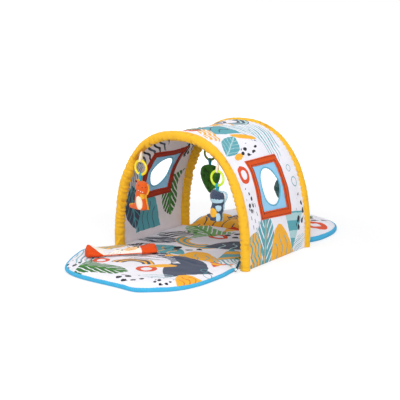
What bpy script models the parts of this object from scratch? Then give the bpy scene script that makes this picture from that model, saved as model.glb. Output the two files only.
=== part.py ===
"""Baby play gym: a padded floor mat with two folding wings under a cloth tunnel on two sleeved arches.

Metres, +Z up. X runs across the tunnel, Y along it, and the origin is on the floor at the tunnel's centre.
The arches are flexible rods in foam and cloth sleeves. The canopy between them has an oval window in each
side, and a toy hangs by a ring and a ribbon loop near each shoulder of both arches.
"""

import math

import bpy
import bmesh
from mathutils import Matrix, Vector

# Arches and tunnel
ARCH_SPAN = 0.597            # between the centres of an arch's two feet
ARCH_CENTRE_HEIGHT = 0.4715  # floor to the centre of the sleeve at the top
ARCH_FOOT_HEIGHT = 0.030     # upright stretch of each foot
ARCH_SQUARENESS = 2.34       # 2 is an ellipse, more gives squarer shoulders
ARCH_STATIONS = 26           # even, so that one station is at the top
TUNNEL_LENGTH = 0.432        # between the two arches' centre planes
GAP = 0.0003                 # between pieces that touch

# Sleeve, foam and rod
SLEEVE_DIAMETER = 0.033
SLEEVE_CLOTH = 0.0012
ROD_DIAMETER = 0.008
FERRULE_WALL = 0.0012
FERRULE_LENGTH = 0.060
ROD_END_GAP = 0.0012         # between the two rods inside their ferrule
INNER_LIFT = 0.0015          # foam and rods stay this far above the floor
TUBE_RESOLUTION = 3          # ten sides
ROD_RESOLUTION = 2           # eight sides

# Canopy and windows
CANOPY_THICKNESS = 0.003
CANOPY_RISE = 0.004          # canopy's middle surface outside the arches' centre line
WINDOW_LOW = 0.167           # lower edge of the frame above the floor
WINDOW_HIGH = 0.376          # upper edge of the frame above the floor
WINDOW_WIDTH = 0.214         # frame's outer width along the tunnel
FRAME_WIDTH = 0.028          # width of the frame's border
FRAME_CLOTH = 0.0015
SEAM_SHARE = 0.62            # the panel's seam lies this far in under the frame's border
HOLE_WIDTH = 0.120           # oval hole along the tunnel
HOLE_HEIGHT = 0.129          # oval hole from low to high point
TRIM_WIDTH = 0.005
TRIM_THICKNESS = 0.005
HOLE_STATIONS = 28

# Mat
MAT_EDGE_HEIGHT = 0.018      # wing's thickness at its rim
WING_CROWN = 0.014           # wing's middle above its rim
FLOOR_EDGE_HEIGHT = 0.011    # floor panel's thickness at its rim
FLOOR_CROWN = 0.008
WING_HINGE = 0.250           # fold line from the tunnel's centre
WING_REACH = 0.645           # far end of a wing from the tunnel's centre
WING_INSET = 0.0085          # wing's side edge inside the arches' centre line
WING_WAIST = 0.0155          # further inset at the fold, where the wing passes between the feet
WING_STRAIGHT_END = 0.345    # where a wing's straight sides begin to round
WING_SQUARENESS = 2.7
WING_STATIONS = 36
BINDING_WIDTH = 0.006
BINDING_BULGE = 0.0012
BINDING_HEIGHT = 0.0195

# Mat straps and snaps
STRAP_WIDTH = 0.010
STRAP_CLOTH = 0.0014
STRAP_TOP = 0.038            # upper end of the strap on the front of the foot
STRAP_REACH = 0.031          # strap's length along the floor
STRAP_SLOPE = 46.0           # degrees down towards the front
STRAP_INSET = 0.014          # strap's middle inside the foot's centre
SNAP_DIAMETER = 0.010
SNAP_THICKNESS = 0.003

# Hanging loops and rings
FRONT_LOOPS_Y = -0.228       # front toys hang in this plane
REAR_LOOPS_Y = 0.212
RIBBON_WIDTH = 0.009
RIBBON_CLOTH = 0.0010
RIBBON_CLEARANCE = 0.0010    # ribbon's inside to the ring's wire
RING_DIAMETER = 0.062
RING_WIRE = 0.0085
TOY_STRAP_LENGTH = 0.022     # ring's underside to the orange dinosaur's and the egg's top
SHORT_STRAP_LENGTH = 0.017   # the same for the blue dinosaur and the leaf
TOY_STRAP_WIDTH = 0.010
RING_STATIONS = 28
RIBBON_BEND_STEPS = 8

# Toys, each under its own ring
# Each inset is from the centre of the arch's foot to the ring's middle, and each drop from the sleeve's underside
# to the top of the ring.
FRONT_LEFT_INSET, FRONT_LEFT_DROP = 0.121, 0.0228
FRONT_RIGHT_INSET, FRONT_RIGHT_DROP = 0.1185, 0.0205
REAR_LEFT_INSET, REAR_LEFT_DROP = 0.1355, 0.042
REAR_RIGHT_INSET, REAR_RIGHT_DROP = 0.1125, 0.026
TOY_HEIGHT = 0.112           # head to foot of the two dinosaurs
TOY_DEPTH = 0.032            # thickness of a stuffed toy
TOY_SIDES = 12
TAIL_DEPTH = 0.022
STUFFING_ROUNDNESS = 0.7     # how fast a stuffed form thins where it narrows
FELT_THICKNESS = 0.0016
EDGING_DEPTH = 0.004         # edging held inside the seam
EDGING_TEETH = 7
FOOT_WIDTH = 0.022
FOOT_HEIGHT = 0.013
FOOT_DEPTH = 0.034
FOOT_SPREAD = 0.027          # between the middles of a toy's two feet
LEAF_HEIGHT = 0.118
LEAF_WIDTH = 0.096
LEAF_DEPTH = 0.016
LEAF_BACK = 0.002            # seam between the leaf's front and back, behind its middle
EGG_HEIGHT = 0.098
EGG_WIDTH = 0.066
EGG_BAND = 0.018

# Tummy pillow on the front wing
PILLOW_LENGTH = 0.262
PILLOW_WIDTH = 0.052
PILLOW_END_WIDTH = 0.074
PILLOW_THICKNESS = 0.022
PILLOW_END_RISE = 0.012      # how much thicker the ends are
PILLOW_END_LENGTH = 0.058
PILLOW_NECK = 0.55           # share of the half length where the ends begin to flare
PILLOW_SIDES = 14
PILLOW_INSET = 0.1405        # from the centre of the arches' left feet to the pillow's middle
PILLOW_Y = -0.389
PILLOW_TURN = 50.0           # degrees from +X

SLEEVE_RADIUS = SLEEVE_DIAMETER / 2
ROD_RADIUS = ROD_DIAMETER / 2
FRONT_LEFT_X = FRONT_LEFT_INSET - ARCH_SPAN / 2
FRONT_RIGHT_X = ARCH_SPAN / 2 - FRONT_RIGHT_INSET
REAR_LEFT_X = REAR_LEFT_INSET - ARCH_SPAN / 2
REAR_RIGHT_X = ARCH_SPAN / 2 - REAR_RIGHT_INSET
PILLOW_X = PILLOW_INSET - ARCH_SPAN / 2
ARCH_PLANE = TUNNEL_LENGTH / 2
TUBE_SIDES = 2 * (TUBE_RESOLUTION + 2)
FERRULE_RADIUS = ROD_RADIUS + GAP + FERRULE_WALL
FOAM_BORE = (FERRULE_RADIUS + GAP) / math.cos(math.pi / TUBE_SIDES)
WIRE_RADIUS = RING_WIRE / 2
RING_RADIUS = RING_DIAMETER / 2 - WIRE_RADIUS

COLOURS = {
    "yellow cloth": (0.95, 0.55, 0.04),
    "foam": (0.85, 0.84, 0.80),
    "rod": (0.75, 0.76, 0.78),
    "steel": (0.55, 0.56, 0.58),
    "rubber": (0.05, 0.05, 0.06),
    "white print": (0.88, 0.87, 0.90),
    "light blue cloth": (0.36, 0.66, 0.92),
    "teal tape": (0.12, 0.45, 0.55),
    "orange cloth": (0.85, 0.17, 0.04),
    "blue binding": (0.08, 0.48, 0.78),
    "navy cloth": (0.07, 0.10, 0.16),
    "white plastic": (0.86, 0.87, 0.88),
    "cream ribbon": (0.88, 0.80, 0.66),
    "yellow plastic": (0.98, 0.78, 0.05),
    "lime plastic": (0.62, 0.85, 0.05),
    "green plastic": (0.30, 0.52, 0.06),
    "cyan cloth": (0.05, 0.60, 0.74),
    "cream plush": (0.92, 0.84, 0.72),
    "slate plush": (0.12, 0.17, 0.26),
    "pale blue felt": (0.50, 0.74, 0.84),
    "green plush": (0.05, 0.20, 0.04),
    "black felt": (0.02, 0.03, 0.03),
    "teal plush": (0.10, 0.34, 0.38),
}


def clear_scene():
    for item in list(bpy.data.objects):
        bpy.data.objects.remove(item)
    for group in list(bpy.data.collections):
        bpy.data.collections.remove(group)


def collection(name):
    group = bpy.data.collections.new(name)
    bpy.context.scene.collection.children.link(group)
    return group


def material(name, colour, roughness=0.85, metallic=0.0):
    made = bpy.data.materials.new(name)
    made.use_nodes = True
    shader = made.node_tree.nodes["Principled BSDF"]
    shader.inputs["Base Color"].default_value = (*COLOURS[colour], 1.0)
    shader.inputs["Roughness"].default_value = roughness
    shader.inputs["Metallic"].default_value = metallic
    return made


def add_part(name, data, colour, roughness=0.85, metallic=0.0):
    """Links a mesh or a curve as one named sub-part."""
    item = bpy.data.objects.new(name, data)
    PARTS.objects.link(item)
    data.materials.append(material(name + "_finish", colour, roughness, metallic))
    return item


def add_cutter(name, data):
    item = bpy.data.objects.new(name, data)
    CUTTERS.objects.link(item)
    item.hide_render = True
    item.display_type = "WIRE"
    return item


def mesh_from(bm, name, smooth=True):
    bm.normal_update()
    bmesh.ops.recalc_face_normals(bm, faces=bm.faces)
    data = bpy.data.meshes.new(name)
    bm.to_mesh(data)
    bm.free()
    if smooth:
        data.shade_smooth()
        data.set_sharp_from_angle(angle=math.radians(40))
    return data


def boolean(item, cutter, operation="DIFFERENCE"):
    step = item.modifiers.new(cutter.name, "BOOLEAN")
    step.object = cutter
    step.operation = operation
    step.solver = "EXACT"


# The arch line, which the sleeves, rods, canopy and windows all follow


def arch_line(first_z=0.0):
    """Points (x, z) of the arch's centre line from the left foot to the right foot."""
    half = ARCH_SPAN / 2
    rise = ARCH_CENTRE_HEIGHT - ARCH_FOOT_HEIGHT
    power = 2 / ARCH_SQUARENESS
    points = [(-half, first_z)]
    for step in range(ARCH_STATIONS + 1):
        angle = math.pi * (1 - step / ARCH_STATIONS)
        across, up = math.cos(angle), abs(math.sin(angle))
        x = math.copysign(abs(across) ** power, across) * half
        z = ARCH_FOOT_HEIGHT + rise * up ** power if up > 1e-9 else ARCH_FOOT_HEIGHT
        points.append((x, z))
    points.append((half, first_z))
    return points


def offset_line(points, distance):
    """The same line moved outwards, with mitred corners so that its facets stay parallel."""
    moved = []
    last = len(points) - 1
    for i, (x, z) in enumerate(points):
        before = Vector(points[i]) - Vector(points[i - 1]) if i > 0 else None
        after = Vector(points[i + 1]) - Vector(points[i]) if i < last else None
        runs = [run.normalized() for run in (before, after) if run is not None]
        normals = [Vector((-run.y, run.x)) for run in runs]
        normal = sum(normals, Vector((0.0, 0.0))).normalized()
        moved.append(Vector((x, z)) + normal * distance / normal.dot(normals[0]))
    return moved


def arch_height(x):
    """Height of the arch's centre line over a point of the floor."""
    share = abs(2 * x / ARCH_SPAN) ** ARCH_SQUARENESS
    return ARCH_FOOT_HEIGHT + (ARCH_CENTRE_HEIGHT - ARCH_FOOT_HEIGHT) * (1 - share) ** (1 / ARCH_SQUARENESS)


def sleeve_underside(x):
    """Height of the lowest sleeve point straight under the arch line at x."""
    step = 0.001
    slope = (arch_height(x + step) - arch_height(x - step)) / (2 * step)
    return arch_height(x) - SLEEVE_RADIUS * math.hypot(1.0, slope)


def tube_curve(name, points, radius, resolution, caps):
    """A POLY curve through 3-D points with a round bevel."""
    curve = bpy.data.curves.new(name, "CURVE")
    curve.dimensions = "3D"
    spline = curve.splines.new("POLY")
    spline.points.add(len(points) - 1)
    for place, point in zip(spline.points, points):
        place.co = (*point, 1.0)
    curve.bevel_depth = radius
    curve.bevel_resolution = resolution
    curve.use_fill_caps = caps
    curve.twist_mode = "MINIMUM"
    return curve


def hollow(item, wall):
    """Turns an open tube into a wall that reaches inwards."""
    shell = item.modifiers.new("wall", "SOLIDIFY")
    shell.thickness = wall
    shell.offset = -1.0
    shell.use_even_offset = False


def arch_points(plane, first_z=0.0):
    return [(x, plane, z) for x, z in arch_line(first_z)]


def make_arch(label, plane):
    """One arch: cloth sleeve, foam tube, and two rods that meet in a ferrule at the top."""
    sleeve = tube_curve(label + "_arch_sleeve", arch_points(plane), SLEEVE_RADIUS, TUBE_RESOLUTION, False)
    hollow(add_part(label + "_arch_sleeve", sleeve, "yellow cloth"), SLEEVE_CLOTH)

    foam_radius = SLEEVE_RADIUS - SLEEVE_CLOTH - GAP
    foam = tube_curve(label + "_arch_foam", arch_points(plane, INNER_LIFT), foam_radius, TUBE_RESOLUTION, False)
    hollow(add_part(label + "_arch_foam", foam, "foam", 0.95), foam_radius - FOAM_BORE)

    line = arch_points(plane, INNER_LIFT)
    middle = len(line) // 2
    top = Vector(line[middle])
    along = (Vector(line[middle + 1]) - top).normalized()
    back = (Vector(line[middle - 1]) - top).normalized()
    halves = (("left", line[:middle] + [tuple(top + back * ROD_END_GAP / 2)]),
              ("right", [tuple(top + along * ROD_END_GAP / 2)] + line[middle + 1:]))
    for side, points in halves:
        rod = tube_curve(f"{label}_rod_{side}", points, ROD_RADIUS, ROD_RESOLUTION, True)
        add_part(f"{label}_rod_{side}", rod, "rod", 0.35)
    reach = FERRULE_LENGTH / 2
    joint = [tuple(top + back * reach), tuple(top), tuple(top + along * reach)]
    ferrule = tube_curve(label + "_rod_ferrule", joint, FERRULE_RADIUS, TUBE_RESOLUTION, False)
    hollow(add_part(label + "_rod_ferrule", ferrule, "steel", 0.3, 1.0), FERRULE_WALL)


# Canopy and windows, all cut from sheets bent over the arch line


def arch_sheet(name, offset, thickness, half_length):
    """A sheet bent over the arches, its middle outside the canopy's middle surface by offset."""
    line = offset_line(arch_line(), CANOPY_RISE + offset - thickness / 2)
    outer = offset_line(arch_line(), CANOPY_RISE + offset + thickness / 2)
    bm = bmesh.new()
    rows = []
    for profile in (line, outer):
        for y in (-half_length, half_length):
            rows.append([bm.verts.new((x, y, z)) for x, z in profile])
    inner_front, inner_back, outer_front, outer_back = rows
    for first, second in ((inner_front, inner_back), (outer_front, outer_back), (inner_front, outer_front),
                          (inner_back, outer_back)):
        for i in range(len(first) - 1):
            bm.faces.new((first[i], first[i + 1], second[i + 1], second[i]))
    for i in (0, -1):
        bm.faces.new((inner_front[i], inner_back[i], outer_back[i], outer_front[i]))
    return mesh_from(bm, name)


def window_block(name, side, width, low, high):
    """A block across one wall of the tunnel, which cuts or keeps a rectangle of a sheet."""
    inner, outer = ARCH_SPAN * 0.2, ARCH_SPAN * 0.65
    bm = bmesh.new()
    bmesh.ops.create_cube(bm, size=1.0)
    for vertex in bm.verts:
        vertex.co.x = side * (inner if vertex.co.x < 0 else outer)
        vertex.co.y *= width
        vertex.co.z = low if vertex.co.z < 0 else high
    return add_cutter(name, mesh_from(bm, name, False))


def window_oval(name, side, grow):
    """An oval prism across one wall of the tunnel, at the middle of the window."""
    bm = bmesh.new()
    bmesh.ops.create_cone(bm, cap_ends=True, segments=HOLE_STATIONS, radius1=1.0, radius2=1.0, depth=1.0)
    centre = (WINDOW_LOW + WINDOW_HIGH) / 2
    half_width, half_height = HOLE_WIDTH / 2 + grow, HOLE_HEIGHT / 2 + grow
    for vertex in bm.verts:
        x = side * ARCH_SPAN * (0.2 if vertex.co.z < 0 else 0.65)
        vertex.co = (x, vertex.co.y * half_width, centre + vertex.co.x * half_height)
    return add_cutter(name, mesh_from(bm, name, False))


def make_canopy():
    """The cloth tunnel with one seam opening a side, and each side's panel, trim and two frames."""
    half_length = ARCH_PLANE - SLEEVE_RADIUS - GAP
    canopy = add_part("canopy", arch_sheet("canopy", 0.0, CANOPY_THICKNESS, half_length), "white print")
    seam = FRAME_WIDTH * SEAM_SHARE
    frame_offset = CANOPY_THICKNESS / 2 + GAP + FRAME_CLOTH / 2
    for label, side in (("left", -1), ("right", 1)):
        opening = window_block(label + "_seam_opening", side, WINDOW_WIDTH - 2 * seam,
                               WINDOW_LOW + seam, WINDOW_HIGH - seam)
        boolean(canopy, opening)

        inset = seam + GAP
        keep = window_block(label + "_panel_outline", side, WINDOW_WIDTH - 2 * inset,
                            WINDOW_LOW + inset, WINDOW_HIGH - inset)
        panel = add_part(label + "_window_panel", arch_sheet(label + "_window_panel", 0.0, CANOPY_THICKNESS,
                                                             half_length), "light blue cloth")
        boolean(panel, keep, "INTERSECT")
        boolean(panel, window_oval(label + "_panel_hole", side, TRIM_WIDTH + GAP))

        trim = add_part(label + "_window_trim", arch_sheet(label + "_window_trim", 0.0, TRIM_THICKNESS,
                                                           half_length), "teal tape")
        boolean(trim, window_oval(label + "_trim_outline", side, TRIM_WIDTH), "INTERSECT")
        boolean(trim, window_oval(label + "_window_hole", side, 0.0))

        outline = window_block(label + "_frame_outline", side, WINDOW_WIDTH, WINDOW_LOW, WINDOW_HIGH)
        inside = window_block(label + "_frame_inside", side, WINDOW_WIDTH - 2 * FRAME_WIDTH,
                              WINDOW_LOW + FRAME_WIDTH, WINDOW_HIGH - FRAME_WIDTH)
        for place, offset in (("outside", frame_offset), ("inside", -frame_offset)):
            name = f"{label}_window_frame_{place}"
            frame = add_part(name, arch_sheet(name, offset, FRAME_CLOTH, half_length), "orange cloth")
            boolean(frame, outline, "INTERSECT")
            boolean(frame, inside)


# Mat


def padded_panel(outline, centre, edge, crown):
    """A pad with a flat underside and a domed top over a star-shaped outline of (x, y) points."""
    shares = (1.0, 0.965, 0.88, 0.72, 0.48, 0.22)
    middle = Vector(centre)
    bm = bmesh.new()
    bottom = [bm.verts.new((x, y, 0.0)) for x, y in outline]
    bm.faces.new(bottom)
    previous = bottom
    for share in shares:
        height = edge + crown * math.sqrt(1 - share ** 4)
        ring = []
        for point in outline:
            place = middle + (Vector(point) - middle) * share
            ring.append(bm.verts.new((place.x, place.y, height)))
        for i in range(len(outline)):
            j = (i + 1) % len(outline)
            bm.faces.new((previous[i], previous[j], ring[j], ring[i]))
        previous = ring
    top = bm.verts.new((middle.x, middle.y, edge + crown))
    for i in range(len(outline)):
        bm.faces.new((previous[i], previous[(i + 1) % len(outline)], top))
    return bm


def wing_outline(side, inset):
    """Points of a wing's edge from its hinge corner round to the other one, drawn in by inset."""
    half_width = ARCH_SPAN / 2 - WING_INSET - inset
    depth = WING_REACH - WING_STRAIGHT_END - inset
    power = 2 / WING_SQUARENESS
    neck = []
    for step in range(5):
        share = step / 5
        ease = share * share * (3 - 2 * share)
        neck.append((half_width - WING_WAIST * (1 - ease),
                     side * (WING_HINGE + GAP + (WING_STRAIGHT_END - WING_HINGE - GAP) * share)))
    points = list(neck)
    for step in range(WING_STATIONS + 1):
        angle = math.pi * step / WING_STATIONS
        across, out = math.cos(angle), abs(math.sin(angle))
        x = math.copysign(abs(across) ** power, across) * half_width
        y = WING_STRAIGHT_END + (depth * out ** power if out > 1e-9 else 0.0)
        points.append((x, side * y))
    points += [(-x, y) for x, y in reversed(neck)]
    return points


def make_wing(label, side):
    """One folding wing: the pad and the binding sewn round its edge."""
    outline = wing_outline(side, BINDING_WIDTH + GAP)
    centre = (0.0, side * (WING_HINGE + WING_REACH) / 2)
    bm = padded_panel(outline, centre, MAT_EDGE_HEIGHT, WING_CROWN)
    add_part(label + "_wing_pad", mesh_from(bm, label + "_wing_pad"), "white print")

    profile = [(BINDING_WIDTH, 0.0), (0.002, 0.0), (0.0, BINDING_HEIGHT * 0.2),
               (-BINDING_BULGE, BINDING_HEIGHT * 0.5), (0.0, BINDING_HEIGHT * 0.8),
               (0.002, BINDING_HEIGHT * 0.97), (BINDING_WIDTH, BINDING_HEIGHT)]
    bm = bmesh.new()
    rows = []
    for inset, height in profile:
        rows.append([bm.verts.new((x, y, height)) for x, y in wing_outline(side, inset)])
    for k, row in enumerate(rows):
        following = rows[(k + 1) % len(rows)]
        for i in range(len(row) - 1):
            bm.faces.new((row[i], row[i + 1], following[i + 1], following[i]))
    for i in (0, -1):
        bm.faces.new([row[i] for row in rows])
    add_part(label + "_wing_binding", mesh_from(bm, label + "_wing_binding"), "blue binding")


def make_floor_panel():
    """The padded floor inside the tunnel, as wide as the canopy's inside and narrower between the feet."""
    wide = ARCH_SPAN / 2 + CANOPY_RISE - CANOPY_THICKNESS / 2 - GAP
    narrow = ARCH_SPAN / 2 - WING_INSET - WING_WAIST
    shoulder, end = ARCH_PLANE - SLEEVE_RADIUS - GAP, WING_HINGE - GAP
    corners = [(narrow, end), (-narrow, end), (-narrow, shoulder), (-wide, shoulder), (-wide, -shoulder),
               (-narrow, -shoulder), (-narrow, -end), (narrow, -end), (narrow, -shoulder), (wide, -shoulder),
               (wide, shoulder), (narrow, shoulder)]
    outline = []
    for start, finish in zip(corners, corners[1:] + corners[:1]):
        run = Vector(finish) - Vector(start)
        steps = max(1, round(run.length / 0.07))
        outline += [tuple(Vector(start) + run * step / steps) for step in range(steps)]
    bm = padded_panel(outline, (0.0, 0.0), FLOOR_EDGE_HEIGHT, FLOOR_CROWN)
    add_part("mat_floor_panel", mesh_from(bm, "mat_floor_panel"), "white print")


def box_between(low, high):
    """A box between two corners, as a mesh under construction."""
    bm = bmesh.new()
    bmesh.ops.create_cube(bm, size=1.0)
    for vertex in bm.verts:
        vertex.co = [low[k] if vertex.co[k] < 0 else high[k] for k in range(3)]
    return bm


def make_mat_straps():
    """Two short straps that run from the front of the front feet down beside the mat, each with a press snap."""
    face = -(ARCH_PLANE + SLEEVE_RADIUS + GAP)
    length = STRAP_REACH / math.cos(math.radians(STRAP_SLOPE))
    for label, side in (("left", -1), ("right", 1)):
        x = side * (ARCH_SPAN / 2 - STRAP_INSET)
        lean = Matrix.Translation((x, face, STRAP_TOP)) @ Matrix.Rotation(math.radians(STRAP_SLOPE), 4, "X")
        strap = box_between((-STRAP_WIDTH / 2, -length, -STRAP_CLOTH), (STRAP_WIDTH / 2, 0.0, 0.0))
        strap.transform(lean)
        add_part("mat_strap_" + label, mesh_from(strap, "mat_strap_" + label, False), "teal tape")
        snap = bmesh.new()
        bmesh.ops.create_cone(snap, cap_ends=True, segments=12, radius1=SNAP_DIAMETER / 2,
                              radius2=SNAP_DIAMETER * 0.42, depth=SNAP_THICKNESS)
        snap.transform(lean @ Matrix.Translation((0.0, SNAP_DIAMETER * 0.6 - length, GAP + SNAP_THICKNESS / 2)))
        add_part("strap_snap_" + label, mesh_from(snap, "strap_snap_" + label), "white plastic", 0.4)


# Loops and rings


def welded_copy(holder, name):
    """The mesh of a curve object in the world, with its caps welded. The curve is removed."""
    bpy.context.view_layer.update()
    evaluated = holder.evaluated_get(bpy.context.evaluated_depsgraph_get())
    bm = bmesh.new()
    solid = bpy.data.meshes.new_from_object(evaluated)
    solid.transform(holder.matrix_world)
    bm.from_mesh(solid)
    bpy.data.objects.remove(holder)
    bmesh.ops.remove_doubles(bm, verts=bm.verts, dist=0.00001)
    return mesh_from(bm, name)


def ribbon_loop(name, x, plane, fold, far, width):
    """A ribbon folded round a ring's wire at height fold, its two legs running to height far."""
    inner = WIRE_RADIUS + RIBBON_CLEARANCE
    way = math.copysign(1.0, far - fold)
    curve = bpy.data.curves.new(name, "CURVE")
    curve.dimensions = "2D"
    curve.fill_mode = "BOTH"
    curve.extrude = width / 2
    for radius, reach in ((inner + RIBBON_CLOTH, far + way * RIBBON_CLOTH), (inner, far)):
        bend = [math.pi * step / RIBBON_BEND_STEPS for step in range(RIBBON_BEND_STEPS + 1)]
        points = [(radius * math.cos(angle), fold - way * radius * math.sin(angle)) for angle in bend]
        points += [(-radius, reach), (radius, reach)]
        spline = curve.splines.new("POLY")
        spline.points.add(len(points) - 1)
        for place, (u, v) in zip(spline.points, points):
            place.co = (u, v, 0.0, 1.0)
        spline.use_cyclic_u = True
    holder = bpy.data.objects.new(name + "_outline", curve)
    CUTTERS.objects.link(holder)
    holder.rotation_euler = (math.radians(90), 0.0, math.radians(90))
    holder.location = (x, plane, 0.0)
    return welded_copy(holder, name)


def sleeve_envelope(label, plane):
    """A solid tube a little larger than the sleeve, which trims what is sewn to it."""
    curve = tube_curve(label + "_envelope", arch_points(plane), SLEEVE_RADIUS + GAP, TUBE_RESOLUTION, True)
    holder = bpy.data.objects.new(label + "_envelope_curve", curve)
    CUTTERS.objects.link(holder)
    return add_cutter(label + "_envelope", welded_copy(holder, label + "_envelope"))


def make_hanger(place, x, plane, drop, envelope, ring_colour):
    """The ribbon loop sewn to the sleeve and the ring that swings in it. Gives the toy's pivot."""
    wire_top = sleeve_underside(x) - drop - WIRE_RADIUS
    name = "toy_loop_" + place
    loop = ribbon_loop(name, x, plane, wire_top, sleeve_underside(x) + SLEEVE_RADIUS, RIBBON_WIDTH)
    boolean(add_part(name, loop, "cream ribbon"), envelope)

    bpy.ops.mesh.primitive_torus_add(major_radius=RING_RADIUS, minor_radius=WIRE_RADIUS,
                                     major_segments=RING_STATIONS, minor_segments=8)
    maker = bpy.context.object
    data = maker.data
    bpy.data.objects.remove(maker)
    data.transform(Matrix.Rotation(math.radians(90), 4, "X"))
    data.transform(Matrix.Translation((0.0, 0.0, -RING_RADIUS)))
    data.shade_smooth()
    ring = add_part("ring_" + place, data, ring_colour, 0.3)
    ring.location = (x, plane, wire_top)
    return Vector((x, plane, wire_top - 2 * RING_RADIUS))


# Stuffed toys, each built round its pivot on the ring's wire


def stuffed_mesh(name, stations, depth, grow=0.0):
    """A stuffed form that swells and tapers along stations (x, z, half width), flat-sided in Y."""
    widest = max(width for _, _, width in stations)
    last = len(stations) - 1
    bm = bmesh.new()
    rings = []
    for i, (x, z, width) in enumerate(stations):
        ahead, behind = stations[min(i + 1, last)], stations[max(i - 1, 0)]
        along = Vector((ahead[0] - behind[0], ahead[1] - behind[1])).normalized()
        shift = grow * ((i == last) - (i == 0))
        half_depth = depth / 2 * (width / widest) ** STUFFING_ROUNDNESS + grow
        ring = []
        for step in range(TOY_SIDES):
            angle = math.tau * step / TOY_SIDES
            side = (width + grow) * math.cos(angle)
            ring.append(bm.verts.new((x + along.x * shift - along.y * side, half_depth * math.sin(angle),
                                      z + along.y * shift + along.x * side)))
        rings.append(ring)
    for first, second in zip(rings, rings[1:]):
        for k in range(TOY_SIDES):
            j = (k + 1) % TOY_SIDES
            bm.faces.new((first[k], first[j], second[j], second[k]))
    bm.faces.new(rings[0])
    bm.faces.new(rings[-1])
    return mesh_from(bm, name)


def in_metres(shares, height, strap=TOY_STRAP_LENGTH):
    """Stations in shares of a toy's height, down from its top, made metres below its pivot."""
    top = -WIRE_RADIUS - strap
    return [(u * height, top - v * height, w * height) for u, v, w in shares]


def placed(item, pivot):
    item.location = pivot
    return item


def oval_prism(name, pivot, centre, half_width, half_height, near, far):
    """An oval prism along Y over a toy, from near to far, centred at (x, z) below its pivot."""
    bm = bmesh.new()
    bmesh.ops.create_cone(bm, cap_ends=True, segments=20, radius1=1.0, radius2=1.0, depth=1.0)
    for vertex in bm.verts:
        x, z = centre[0] + vertex.co.x * half_width, centre[1] + vertex.co.y * half_height
        vertex.co = (x, near if vertex.co.z < 0 else far, z)
    return placed(add_cutter(name, mesh_from(bm, name, False)), pivot)


def applique(name, pivot, stations, depth, outline, colour):
    """A felt patch that lies on a stuffed form inside an outline cutter."""
    patch = placed(add_part(name, stuffed_mesh(name, stations, depth, GAP + FELT_THICKNESS), colour, 0.95), pivot)
    boolean(patch, outline, "INTERSECT")
    boolean(patch, placed(add_cutter(name + "_form", stuffed_mesh(name, stations, depth, GAP)), pivot))
    return patch


def felt_edging(name, points, pivot, colour):
    """A flat felt piece in the toy's middle plane, from its outline of (x, z) points."""
    curve = bpy.data.curves.new(name, "CURVE")
    curve.dimensions = "2D"
    curve.fill_mode = "BOTH"
    curve.extrude = FELT_THICKNESS / 2
    spline = curve.splines.new("POLY")
    spline.points.add(len(points) - 1)
    for place, (x, z) in zip(spline.points, points):
        place.co = (x, z, 0.0, 1.0)
    spline.use_cyclic_u = True
    holder = bpy.data.objects.new(name + "_outline", curve)
    CUTTERS.objects.link(holder)
    holder.rotation_euler = (math.radians(90), 0.0, 0.0)
    return placed(add_part(name, welded_copy(holder, name), colour, 0.95), pivot)


def toy_strap(label, pivot, top_form, colour, strap=TOY_STRAP_LENGTH):
    """The ribbon that ties a toy to its ring, trimmed where it is sewn into the toy's top."""
    name = label + "_strap"
    far = pivot.z - WIRE_RADIUS - strap - TOY_DEPTH / 2
    ribbon = add_part(name, ribbon_loop(name, pivot.x, pivot.y, pivot.z, far, TOY_STRAP_WIDTH), colour)
    ribbon.data.transform(Matrix.Translation(-pivot))
    boolean(placed(ribbon, pivot), top_form)


def stuffed_part(name, pivot, stations, depth, colour):
    """A stuffed form as a part, and the form a gap larger that trims what touches it."""
    item = placed(add_part(name, stuffed_mesh(name, stations, depth), colour, 0.95), pivot)
    form = placed(add_cutter(name + "_form", stuffed_mesh(name + "_form", stations, depth, GAP)), pivot)
    return item, form


def feet_form(name, pivot, x, z, grow):
    """Two stubby feet side by side, as one cutter."""
    bm = bmesh.new()
    for way in (-1, 1):
        made = bmesh.ops.create_uvsphere(bm, u_segments=10, v_segments=6, radius=1.0)["verts"]
        for vertex in made:
            u, v, w = vertex.co
            vertex.co = (x + way * FOOT_SPREAD / 2 + u * (FOOT_WIDTH / 2 + grow), v * (FOOT_DEPTH / 2 + grow),
                         z + w * (FOOT_HEIGHT / 2 + grow))
    return placed(add_cutter(name, mesh_from(bm, name)), pivot)


def reach_right(stations, z):
    """How far a stuffed form reaches to the right at a height, or far to the left beyond its ends."""
    for (xa, za, wa), (xb, zb, wb) in zip(stations, stations[1:]):
        if zb <= z <= za:
            return xa + wa + (za - z) / (za - zb) * (xb + wb - xa - wa)
    return -TOY_HEIGHT


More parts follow.
